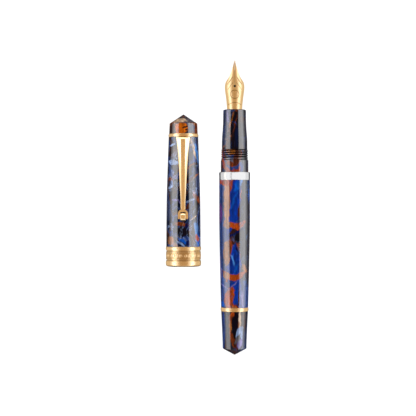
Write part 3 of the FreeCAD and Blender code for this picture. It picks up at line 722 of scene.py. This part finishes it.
# ---- cap
def cap_shell():
    tenon, mouth_bore, thread_bore, liner = 7.10, 6.22, 5.84, 5.48
    lip = CAP_MOUTH + 0.8
    thread_low, thread_high = CAP_MOUTH + 5.9, CAP_MOUTH + 10.6
    side = smooth(
        [(7.64, BAND_TOP), (7.60, -8.0), (7.46, 3.4), (7.22, 12.4), (6.91, 22.0), (6.58, CAP_TOP)], 8
    )
    outline = [
        (tenon, lip), (tenon, BAND_TOP), *side,
        (STUD_R, CAP_TOP), (STUD_R, 26.4), (liner, 26.4), (liner, 2.0), (thread_bore, 1.6),
        *even(thread_bore, thread_high + 0.5, thread_low + 0.05),
        (mouth_bore, thread_low - 0.4), (mouth_bore, lip),
    ]
    relief = helix_relief([(thread_bore, thread_low - 0.5, thread_high, 1.0, 0.27)])
    shell = lathe("cap_shell", outline, CAP, relief=relief)
    slot = block_object("slot", CAP, 2.25, (30.15, CAP_TOP + 1), (4.9, 9))
    boolean(shell, slot, "DIFFERENCE")
    return shell


def crown():
    shoulder = 37.45
    top_r = 6.17
    outline = [
        (STUD_R, CROWN_BASE), (CROWN_R - 0.05, CROWN_BASE), (CROWN_R, CROWN_BASE + 0.06),
        (top_r, shoulder - 0.22),
        (top_r - 0.02, shoulder - 0.08), (top_r - 0.09, shoulder + 0.04), (top_r - 0.24, shoulder + 0.14),
        (0.30, CROWN_POINT - 0.14), (0.15, CROWN_POINT - 0.05), (0, CROWN_POINT), (0, 36.4), (STUD_R, 36.4),
    ]
    return lathe("crown", outline, CAP)


def crown_ring():
    rim = CROWN_RING_R - 0.18
    outline = [(STUD_R, CAP_TOP), *bead(rim, CAP_TOP, CROWN_BASE, CROWN_RING_R), (STUD_R, CROWN_BASE)]
    return lathe("crown_band", outline, CAP)


def band_ornament(angle, along):
    """Height, 0 to 1, of the raised border on the band: leaves in pairs between upright bars."""
    repeats = 14
    place = (angle / (2 * math.pi) * repeats) % 1 - 0.5
    side = abs(place)
    if side > 0.40:
        return 1.0 if abs(along) < 0.82 and side > 0.455 else 0.0
    slant = 0.9 * (side - 0.2) * (1 if place > 0 else -1)
    leaf = 1 - ((along - slant) / 0.46) ** 2 - ((side - 0.2) / 0.17) ** 2
    stud = 1 - (side / 0.05) ** 2 - (along / 0.30) ** 2
    return min(1.0, max(0.0, 3 * leaf, 3 * stud))


def band():
    """Bead above, wider bead at the mouth, and between them, past two grooves, the ornate border."""
    inner, seat, lip = 7.12, 6.32, CAP_MOUTH + 0.78
    bead_r, field = BAND_R - 0.17, BAND_R - 0.14
    upper, lower = BAND_TOP - 1.75, CAP_MOUTH + 2.65
    notch, notch_r, rows = 0.42, bead_r - 0.34, 36
    middle, half = (upper + lower) / 2, (upper - lower) / 2 - notch - 0.42
    # from a bead through its groove to the border: radius, distance from the bead
    edge = [
        (notch_r, 0.06), (notch_r, notch), (BAND_R - 0.06, notch + 0.06), (BAND_R - 0.04, notch + 0.14),
        (BAND_R - 0.06, notch + 0.26), (field, notch + 0.32),
    ]
    mouth = [
        (bead_r, lower), (BAND_R - 0.02, lower - 0.55), (BAND_R, lower - 1.1),
        (BAND_R - 0.05, CAP_MOUTH + 0.8), (BAND_R - 0.3, CAP_MOUTH + 0.3), (BAND_R - 0.8, CAP_MOUTH + 0.03),
        (BAND_R - 1.0, CAP_MOUTH),
    ]
    outline = [
        (inner, lip), (inner, BAND_TOP), (bead_r - 0.05, BAND_TOP),
        *bead(bead_r, BAND_TOP - 0.04, upper, BAND_R, 12),
        *[(r, upper - away) for r, away in edge],
        *[(field, middle + half * (1 - 2 * k / rows)) for k in range(rows + 1)],
        *[(r, lower + away) for r, away in reversed(edge)],
        *smooth(mouth, 4),
        (seat + 0.1, CAP_MOUTH), (seat, CAP_MOUTH + 0.1), (seat, lip),
    ]

    def relief(angle, r, y):
        along = (y - middle) / half
        if abs(r - field) > 1e-6 or abs(along) > 1:
            return 0.0
        return 0.09 * band_ornament(angle, along)

    return lathe("cap_band_ornate", outline, CAP, segments=840, relief=relief, sharp=40)


def clip_sections():
    """Half width, and heights of the underside, shoulder and ridge, at places along the clip."""
    return smooth(
        [
            (31.05, 2.98, 7.30, 7.65, 8.75), (24.0, 2.23, 7.95, 8.30, 9.30), (13.0, 1.53, 8.50, 8.85, 9.85),
            (5.0, 1.20, 8.60, 9.00, 10.05), (-1.2, 1.12, 8.62, 9.05, 10.12),
        ],
        5,
    )


def clip():
    """Faceted bar with a narrow flat ridge, bevelled like a gable at its root, that ends in a fork."""
    mesh = bmesh.new()
    rows = []
    for y, half, low, shoulder, high in clip_sections():
        flat = 0.60 + 0.14 * half
        # x, z, and how far the point leans back at the root
        side = [(half, low, 0.0), (half, shoulder, 0.35), (flat, high, 2.3)]
        points = [(-x, z, lean) for x, z, lean in side] + [(0, high, 0.9)] + side[::-1]
        at_root = y > 31
        rows.append([mesh.verts.new((CAP[0] + x, y - lean * at_root, CAP[1] + z)) for x, z, lean in points])
    for high, low in zip(rows, rows[1:]):
        bridge(mesh, high, low)
    mesh.faces.new(rows[0][::-1])
    mesh.faces.new(rows[-1])
    bar = finish_mesh("clip_bar", mesh, sharp=12)
    for part in (block_object("tab", CAP, 2.1, (30.35, 31.05), (5.1, 7.6)), fork()):
        boolean(bar, part, "UNION")
    soften = bar.modifiers.new("soften", "BEVEL")
    soften.width = 0.055 * MM
    soften.segments = 2
    soften.limit_method = "ANGLE"
    soften.angle_limit = math.radians(18)
    apply_modifiers(bar)
    bar.data.shade_smooth()
    bar.data.set_sharp_from_angle(angle=math.radians(24))
    return bar


def fork():
    """Two prongs that hold the wheel, from one closed outline: a horseshoe open towards the cap's mouth."""
    outer, inner, toe, centre_y, floor_y = 2.25, 1.21, -4.95, -2.85, -1.86
    bottom, top, corner, steps = 8.62, 10.17, 0.35, 10
    toe_r, toe_x = (outer - inner) / 2, (outer + inner) / 2
    arch = [math.pi / 2 * (1 - 2 * k / 24) for k in range(25)]
    half_turn = [math.pi * k / steps for k in range(steps + 1)]
    round_toe = [(-toe_r * math.cos(a), toe + toe_r - toe_r * math.sin(a)) for a in half_turn]
    left_toe, right_toe = [[(middle + x, y) for x, y in round_toe] for middle in (-toe_x, toe_x)]
    loop = [
        *[(outer * math.sin(a), centre_y + outer * math.cos(a)) for a in arch], *left_toe,
        (-inner, floor_y - corner), (-inner + 0.1, floor_y - 0.1), (-inner + corner, floor_y),
        (inner - corner, floor_y), (inner - 0.1, floor_y - 0.1), (inner, floor_y - corner), *right_toe,
    ]
    mesh = bmesh.new()
    base, lid = [[mesh.verts.new((CAP[0] + x, y, CAP[1] + z)) for x, y in loop] for z in (bottom, top)]
    mesh.faces.new(base)
    mesh.faces.new(lid[::-1])
    bridge(mesh, base, lid)
    return finish_mesh("fork", mesh)


def lay_on_side(obj):
    """Turns a lathed piece from the Y axis to the wheel's own axis."""
    centre = Vector((WHEEL_X, WHEEL_Y, WHEEL_Z)) * MM
    obj.data.transform(Matrix.Translation(centre) @ Matrix.Rotation(-math.pi / 2, 4, "Z"))
    return obj


def wheel():
    """Wheel on its side: turned about X, slightly dished on both faces."""
    half, bore, hub, dish = 1.10, 0.45, 0.85, 1.05
    side = [(bore, 0.12), (hub, 0.10), (dish, 0, 0.05), (WHEEL_R, 0, 0.22)]
    return lay_on_side(lathe("roller", rounded(mirrored(side, -half, half), 5), (0, 0), segments=96))


def axle():
    radius, half, fillet = 0.40, 2.22, 0.08
    corners = mirrored([(0, 0), (radius, 0, fillet)], -half, half)
    return lay_on_side(lathe("roller_axle", rounded(corners), (0, 0), segments=48))


# ---- materials of this pen
GILT = metal("gilt", (0.88, 0.64, 0.35), 0.26)
# painted shade in the band's grooves and sunk field, darker gold below the beads' crest
BAND_GILT = metal(
    "band_gilt", (0.88, 0.64, 0.35), 0.26, painted_recess_shade=(CAP, BAND_R - 0.15, BAND_R - 0.07, (0.62, 0.40, 0.18))
)
CLIP_GILT = metal("clip_gilt", (0.90, 0.68, 0.39), 0.20)
NIB_GOLD = metal("nib_gold", (0.91, 0.67, 0.35), 0.30, grooves=(0.30, 0.16, 0.05))
STEEL = metal("steel", (0.90, 0.90, 0.90), 0.17)
TIPPING = metal("tipping", (0.78, 0.66, 0.44), 0.25)
BRASS = metal("brass", (0.55, 0.38, 0.14), 0.32, 0.08)
BLACK_PLASTIC = plastic("black_plastic", (0.010, 0.010, 0.011), 0.42)
WHITE_PLASTIC = plastic("white_plastic", (0.62, 0.62, 0.60), 0.35)
CLEAR_PLASTIC = plastic("clear_plastic", (0.92, 0.94, 0.95), 0.06, clear=0.95)
RUBBER = plastic("rubber", (0.014, 0.014, 0.014), 0.62)

BARREL_DABS = [
    # x, y, half width, half length, turn, colour, bend
    (4.9, -14, 2.8, 32, 0, SMOKE), (-5.6, -16, 2.2, 32, 0, INDIGO), (-6.4, -2.5, 0.8, 4.0, 0, VIOLET),
    (-6.4, -27.5, 0.6, 6.0, 0, LILAC), (6.3, 5.5, 0.7, 3.2, 0, INDIGO), (-3.5, 3.0, 1.4, 10.5, 0, PEACH),
    (-4.2, 12.2, 3.3, 2.4, 0, ORANGE), (-1.7, 10.0, 1.0, 3.0, 6, ORANGE), (0.1, 3.4, 2.25, 9.8, -5, BLUE),
    (2.7, 11.6, 0.6, 1.8, 0, SKY), (1.0, 9.4, 1.0, 2.6, -20, ROYAL), (0.2, 4.9, 0.45, 2.6, -26, ROYAL),
    (-1.0, 1.6, 0.4, 2.0, -22, ROYAL), (1.8, -2.0, 0.5, 3.2, -4, BROWN),
    (0.3, -8.0, 1.45, 4.6, 90, ORANGE, 0.10), (-3.6, -7.2, 1.4, 2.2, 20, PEACH),
    (-0.9, -12.6, 1.7, 3.6, -8, UMBER), (1.3, -13.0, 1.2, 3.0, 0, BLACK),
    (-0.9, -14.0, 0.7, 1.6, 20, BROWN), (1.0, -10.7, 0.62, 4.6, -58, NAVY),
    (-3.6, -20.0, 1.55, 5.6, -2, PEACH), (-1.75, -17.6, 0.95, 4.2, 10, RUST),
    (0.6, -23.4, 1.9, 7.2, 5, BLUE), (-0.9, -23.2, 0.40, 2.6, 14, SKY), (0.6, -26.4, 0.5, 2.4, -24, ROYAL),
    (0.9, -18.6, 0.4, 2.2, 16, NAVY), (-2.2, -26.8, 1.0, 1.8, 50, BLUE),
    (-0.1, -30.9, 1.45, 5.7, 92, ORANGE, 0.12), (4.2, -26.6, 0.9, 2.2, 24, PEACH),
    (-3.6, -29.9, 1.4, 1.5, 60, PEACH), (0.2, -37.5, 3.4, 5.0, 0, BLUE), (4.3, -38.6, 2.1, 6.6, 0, INDIGO),
    (-4.1, -34.6, 2.2, 1.5, 40, INDIGO), (-2.5, -39.2, 2.15, 4.7, -16, ORANGE),
    (-5.6, -42.6, 1.3, 1.3, 0, ROYAL), (-4.3, -34.9, 0.28, 2.3, 56, LILAC, 0.05),
    (-0.7, -34.1, 0.22, 2.9, -47, LILAC), (1.75, -39.5, 0.32, 5.2, -3, BROWN),
    (3.4, -40.5, 0.5, 3.4, 4, LILAC),
]
NECK_DABS = [
    (-1.6, 24.2, 6.2, 9.3, 4, ORANGE), (-1.1, 24.6, 5.0, 8.0, 4, INDIGO), (-1.1, 24.8, 4.2, 6.7, 4, RUST),
    (-1.2, 25.0, 3.5, 5.0, 4, ASH), (-1.2, 25.4, 2.9, 3.5, 4, INDIGO), (-1.6, 25.6, 2.2, 2.3, 4, AMBER),
    (0.9, 22.6, 1.5, 4.2, -10, BROWN), (4.4, 19.8, 2.0, 5.4, 0, SMOKE), (3.0, 17.6, 0.8, 2.4, 0, INDIGO),
]
SECTION_DABS = [
    (0.6, 33.0, 2.4, 10.0, 0, BLACK), (1.0, 31.5, 0.9, 4.6, 0, INK), (-3.9, 39.0, 1.5, 5.4, 6, SLATE),
    (-3.2, 40.6, 0.5, 2.6, 10, LILAC), (-1.7, 38.2, 0.35, 4.4, -18, AMBER),
    (0.1, 37.0, 0.30, 5.0, -12, BROWN), (-2.1, 31.8, 0.3, 0.5, 60, PEACH),
    (-4.4, 27.3, 0.35, 1.4, -40, PEACH), (-1.6, 42.9, 1.8, 0.8, 0, SLATE), (0.6, 42.8, 0.5, 0.6, 0, RUST),
    (-2.5, 34.4, 0.30, 3.4, 14, BROWN), (-4.6, 31.5, 0.8, 4.6, 0, SLATE),
    (-3.5, 29.0, 0.45, 2.6, -16, BROWN), (4.9, 36.0, 0.9, 7.4, 0, SMOKE),
]
TAIL_DABS = [
    (-5.2, -54.0, 1.0, 9.0, 0, INDIGO), (0.4, -50.5, 1.8, 7.4, 3, BLACK),
    (-1.75, -48.5, 0.75, 3.6, -6, RUST), (-1.0, -46.8, 0.7, 1.4, 0, ORANGE),
    (-2.0, -52.6, 0.6, 2.4, 4, AMBER), (-1.0, -58.0, 0.85, 4.0, 16, RUST), (0.6, -60.4, 1.0, 2.6, 4, BROWN),
    (2.2, -49.6, 0.65, 4.2, 0, CREAM), (1.7, -51.6, 0.40, 1.4, 0, AMBER), (1.7, -54.8, 0.8, 2.4, -20, PALE),
    (3.0, -55.6, 0.5, 3.0, -6, PALE), (1.0, -58.4, 0.7, 1.8, -30, ASH), (2.2, -60.0, 1.2, 2.4, -14, LILAC),
]
CROWN_DABS = [
    (-0.9, 34.9, 3.0, 2.6, 0, TANGERINE), (-4.9, 34.6, 1.5, 3.0, 0, UMBER),
    (-2.6, 33.7, 1.5, 0.4, 66, ORANGE), (0.7, 35.6, 1.6, 0.35, 20, UMBER),
    (1.9, 34.6, 1.3, 0.35, 24, BROWN), (4.2, 35.2, 1.3, 1.7, 12, SLATE), (5.8, 34.8, 0.8, 2.6, 0, RUST),
    (-1.2, 38.8, 1.1, 4.4, 90, CREAM), (3.2, 38.5, 0.9, 2.4, 78, ASH), (0.3, 40.6, 1.2, 0.9, 0, AMBER),
    (1.6, 39.6, 1.1, 0.25, -24, BROWN),
]
CAP_DABS = [
    (-4.6, 20.0, 2.2, 1.0, -14, PALE), (-4.6, 27.8, 1.6, 0.5, 24, PALE), (-3.2, 13.6, 1.4, 0.9, 30, LILAC),
    (-5.6, 12.6, 1.2, 0.8, -30, RUST), (-5.4, 9.2, 1.6, 0.6, 34, PALE), (-2.2, 15.8, 0.5, 2.4, -20, SLATE),
    (-3.3, 3.5, 1.7, 0.55, -6, LILAC), (-1.3, 2.2, 1.3, 0.25, -34, LILAC), (-6.4, -1.0, 0.9, 4.6, 0, SLATE),
    (4.7, 25.8, 0.45, 4.4, 14, CREAM), (5.9, 24.0, 0.5, 4.6, 10, SKY), (6.1, 12.5, 0.9, 5.0, 4, SLATE),
    (3.3, 18.2, 0.35, 2.0, -52, RUST), (2.6, 12.0, 0.5, 1.8, -40, BROWN), (5.7, 4.6, 0.8, 3.0, 30, RUST),
    (3.1, 3.2, 0.40, 2.0, -62, PALE), (1.8, 6.6, 0.5, 2.0, -30, BROWN), (5.2, -1.2, 1.4, 2.6, -18, SMOKE),
    (4.6, -4.4, 0.22, 1.6, -52, CREAM), (-0.7, -7.2, 1.0, 3.2, 84, RUST),
    (-0.5, -6.9, 0.35, 1.6, 74, AMBER), (1.9, -8.4, 0.8, 1.8, 10, NAVY), (-0.2, -10.6, 2.6, 2.2, 0, BLACK),
    (5.9, -11.5, 0.9, 5.4, 6, SKY), (6.7, -14.0, 0.6, 3.0, 0, ROYAL), (-5.5, -14.6, 1.5, 2.0, 26, PEACH),
    (-3.6, -16.4, 1.0, 1.4, 40, PEACH), (-1.6, -13.0, 0.35, 2.0, 56, ASH),
    (0.2, -14.8, 0.70, 3.0, 56, ROYAL), (-0.8, -15.8, 0.35, 2.6, 50, PALE), (2.4, -15.6, 0.9, 1.2, 0, NAVY),
    (2.9, 22.5, 0.45, 2.4, 8, UMBER), (-4.2, 23.6, 0.35, 2.4, -30, BROWN),
    (-3.2, 15.4, 0.40, 2.2, -40, BROWN), (-2.9, 8.2, 0.40, 2.6, -32, BROWN),
    (2.2, 0.6, 0.8, 1.6, -35, BROWN), (5.3, 13.6, 0.35, 2.2, -40, AMBER),
    (-5.0, -8.5, 0.4, 2.4, -35, BROWN), (3.9, -8.0, 0.35, 2.4, -30, BROWN),
    (6.1, -13.2, 0.7, 1.4, 20, ORANGE),
]


def add(piece, node, body, material):
    """Puts a finished piece on its body in place of its CAD node."""
    piece.data.materials.clear()
    piece.data.materials.append(material)
    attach(piece, body)
    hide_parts(node)


RESINS = {
    "section": resin("resin_grip", PEN, 5.3, GRIP_MARBLE, 0.12, 11.0, SECTION_DABS, INDIGO, 0.5),
    # the neck's thread roots get painted shade
    "barrel_neck": resin(
        "resin_neck", PEN, 6.0, NECK_MARBLE, 0.14, 5.0, NECK_DABS, LILAC, 0.3, root=(5.68, 5.88)
    ),
    "barrel": resin("resin_barrel", PEN, BARREL_R, BARREL_MARBLE, 0.09, 3.0, BARREL_DABS, SKY, 0.3),
    "blind_cap": resin("resin_tail", PEN, 5.6, TAIL_MARBLE, 0.14, 8.0, TAIL_DABS, INDIGO, 0.3, 1.48),
    "cap_tube": resin("resin_cap", CAP, 7.3, CAP_MARBLE, 0.16, 17.0, CAP_DABS, PALE, 0.55, lean=1.0),
    "cap_crown": resin("resin_crown", CAP, CROWN_R, CROWN_MARBLE, 0.15, 23.0, CROWN_DABS, AMBER, 0.4),
}
for make, node, body in (
    (section, "section", "front_unit"), (neck, "barrel_neck", "barrel_unit"),
    (barrel, "barrel", "barrel_unit"), (tail, "blind_cap", "blind_cap"),
    (cap_shell, "cap_tube", "cap_unit"), (crown, "cap_crown", "cap_unit"),
):
    add(make(), node, body, RESINS[node])
for make, node, body, gilt in (
    (tail_ring, "tail_ring", "barrel_unit", GILT), (crown_ring, "crown_ring", "cap_unit", GILT),
    (band, "cap_band", "cap_unit", BAND_GILT), (clip, "clip", "clip", CLIP_GILT),
    (wheel, "clip_wheel", "clip_wheel", CLIP_GILT), (axle, "clip_axle", "clip", GILT),
):
    add(make(), node, body, gilt)
add(steel_ring(), "barrel_ring", "barrel_unit", STEEL)
add(nib(), "nib", "nib_unit", NIB_GOLD)
for side, label in ((-1, "left"), (1, "right")):
    add(tipping(f"pellet_{label}", side), f"tipping_{label}", "nib_unit", TIPPING)

for material, nodes in (
    (RUBBER, ("section_oring", "piston_seal")),
    (BLACK_PLASTIC, ("feed", "nib_housing", "converter_guide", "converter_knob", "cap_liner")),
    (CLEAR_PLASTIC, ("converter_tube",)),
    (WHITE_PLASTIC, ("piston_rod",)),
    (STEEL, ("converter_ferrule",)),
    (BRASS, ("tail_bush", "crown_stud")),
):
    for node in nodes:
        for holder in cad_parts[node].material_slots:
            holder.material = material


# ---- floor, light and camera
def floor():
    half = 40000
    mesh = bmesh.new()
    bmesh.ops.create_grid(mesh, x_segments=1, y_segments=1, size=half)
    plane = finish_mesh("floor", mesh)
    mat = Shader("floor_white")
    mat.bsdf.inputs["Base Color"].default_value = (0.80, 0.80, 0.80, 1)
    mat.bsdf.inputs["Roughness"].default_value = 0.9
    mat.bsdf.inputs["Specular IOR Level"].default_value = 0.0
    plane.data.materials.append(mat.material)
    plane.location.z = -0.02 * MM
    plane.visible_glossy = False
    return plane


def group(name, members):
    """Collection of objects that a light is limited to."""
    made = bpy.data.collections.new(name)
    for obj in members:
        made.objects.link(obj)
    return made


def area_light(name, size, radiance, lit, tint=(1, 1, 1)):
    """Rectangular lamp for some pieces only. lit is (the collection it lights, the one that blocks it)."""
    data = bpy.data.lights.new(name, "AREA")
    data.shape = "RECTANGLE"
    data.size, data.size_y = size[0] * MM, size[1] * MM
    data.energy = radiance * math.pi * data.size * data.size_y
    data.color = tint
    lamp = bpy.data.objects.new(name, data)
    lamp.visible_camera = False
    lamp.light_linking.receiver_collection, lamp.light_linking.blocker_collection = lit
    bpy.context.scene.collection.objects.link(lamp)
    return lamp


def strip(name, near, far, side, radiance, lit, tint=(1, 1, 1)):
    """Long softbox along the pens that fills the angles from near to far, measured from straight up."""
    length, reach = 900, 420
    near, far = math.radians(near), math.radians(far)
    low = Vector((side * reach * math.sin(far), 0, reach * math.cos(far)))
    high = Vector((side * reach * math.sin(near), 0, reach * math.cos(near)))
    middle = (low + high) / 2
    lamp = area_light(name, ((high - low).length, length), radiance, lit, tint)
    along = Vector((0, 1, 0))
    facing = (high - low).normalized().cross(along)
    if facing.dot(middle) < 0:
        facing = -facing
    # local Z points away from the pens and local Y along them
    turn = Matrix((along.cross(facing), along, facing)).transposed()
    lamp.matrix_world = Matrix.Translation(middle * MM) @ turn.to_4x4()


def softbox(name, place, size, radiance, lit):
    """Rectangular lamp that faces the middle of the pair."""
    lamp = area_light(name, size, radiance, lit)
    lamp.location = Vector(place) * MM
    lamp.rotation_euler = (Vector((0, 0, 8 * MM)) - lamp.location).to_track_quat("-Z", "Y").to_euler()
    return lamp


stage_floor = floor()
pieces = [obj for obj in bpy.context.scene.objects if obj.type == "MESH" and obj is not stage_floor]


def made_of(halves, *materials):
    return [obj for obj in halves if obj.material_slots and obj.material_slots[0].material in materials]


def on_cap_side(obj):
    return (obj.matrix_world @ Vector(obj.bound_box[0])).x < 0


def end_boxes(name, lit, front, rear):
    """Softboxes before the nib and behind the tail, for the metals."""
    for end, place, radiance in (("front", 545, front), ("rear", -545, rear)):
        softbox(f"{name}_{end}", (0, place, 160), (600, 330), radiance, lit)


GOLDS = GILT, BAND_GILT, CLIP_GILT, NIB_GOLD, BRASS, TIPPING
SIDES = -1, 1
END_BOX = 1100, 200
# the pen's left highlight is a little dimmer than the cap's, and so are the peaks on its gilt
for label, is_cap, left_share, peak in (("cap", True, 1.0, 1.8), ("pen", False, 0.86, 1.3)):
    half = [obj for obj in pieces if on_cap_side(obj) == is_cap]
    blockers = group(f"block_{label}", half)
    steels, golds, clips = made_of(half, STEEL), made_of(half, *GOLDS), made_of(half, CLIP_GILT)
    others = group(f"others_{label}", [obj for obj in half if obj not in steels + golds]), blockers
    gold = group(f"gold_{label}", golds), blockers
    for side, near, far, share in ((-1, 38, 94, left_share), (1, 36, 98, 1.0)):
        strip(f"{label}_wide_{side}", near, far + 10, side, 1.5 * share, others)
        strip(f"{label}_strip_{side}", near + 1, far - 4, side, 2.1 * share, others)
        strip(f"{label}_core_{side}", near + 5, far - 14, side, 2.1 * share, others)
    for side in SIDES:
        strip(f"{label}_gold_wide_{side}", 31, 88, side, 0.70, gold)
        strip(f"{label}_gold_core_{side}", 46, 76, side, peak, gold, (0.88, 0.91, 1.12))
        strip(f"{label}_gold_low_{side}", 88, 150, side, 0.72, gold, (1.0, 0.84, 0.62))
    strip(f"{label}_card_gold", -35, 37, 1, 0.47, gold, (1.0, 0.62, 0.26))
    # most of the light along the resin is soft fill, which isn't mirrored in it
    for end, place, mirrored, soft in (("front", 520, 1.3, 4.2), ("rear", -520, 1.2, 3.6)):
        softbox(f"{label}_{end}", (0, place, 250), END_BOX, mirrored, others)
        softbox(f"{label}_{end}_fill", (0, place, 250), END_BOX, soft, others).visible_glossy = False
    end_boxes(f"{label}_gold", gold, 2.3, 1.4)
    if steels:
        steel = group(f"steel_{label}", steels), blockers
        for side in SIDES:
            strip(f"steel_wide_{side}", 28, 88, side, 0.93, steel)
            strip(f"steel_low_{side}", 88, 128, side, 0.72, steel)
        strip("card_steel", -23, 28, 1, 0.93, steel)
        end_boxes("steel", steel, 1.0, 1.0)
    if clips:
        lit_clip = group("lit_clip", clips), blockers
        strip("card_clip", -24, 26, 1, 0.16, lit_clip, (1.0, 0.80, 0.55))
        for side in SIDES:
            strip(f"flank_{side}", 72, 138, side, 0.75, lit_clip, (0.90, 0.97, 1.15))
floor_only = group("lit_floor", [stage_floor])
softbox("floor_wash", (0, 0, 30000), (60000, 60000), 2.4, (floor_only, floor_only))
# the big turned pieces don't mirror each other
for obj in pieces:
    if obj.name in ("cap_shell", "crown", "cap_band_ornate", "barrel_shell", "threaded_neck", "steel_ring"):
        obj.visible_glossy = False

world = bpy.data.worlds.new("studio")
world.use_nodes = True
background = world.node_tree.nodes["Background"].inputs
background["Color"].default_value = (0.90, 0.93, 1.0, 1)
background["Strength"].default_value = 0.10
bpy.context.scene.world = world

camera_data = bpy.data.cameras.new("camera")
camera_data.lens_unit = "FOV"
camera_data.angle = math.radians(20.2)
camera = bpy.data.objects.new("camera", camera_data)
camera.location = Vector((0, -0.1, 7.4 + 520)) * MM
bpy.context.scene.collection.objects.link(camera)
bpy.context.scene.camera = camera
bpy.context.scene.view_settings.view_transform = "Standard"
bpy.context.scene.cycles.use_denoising = True
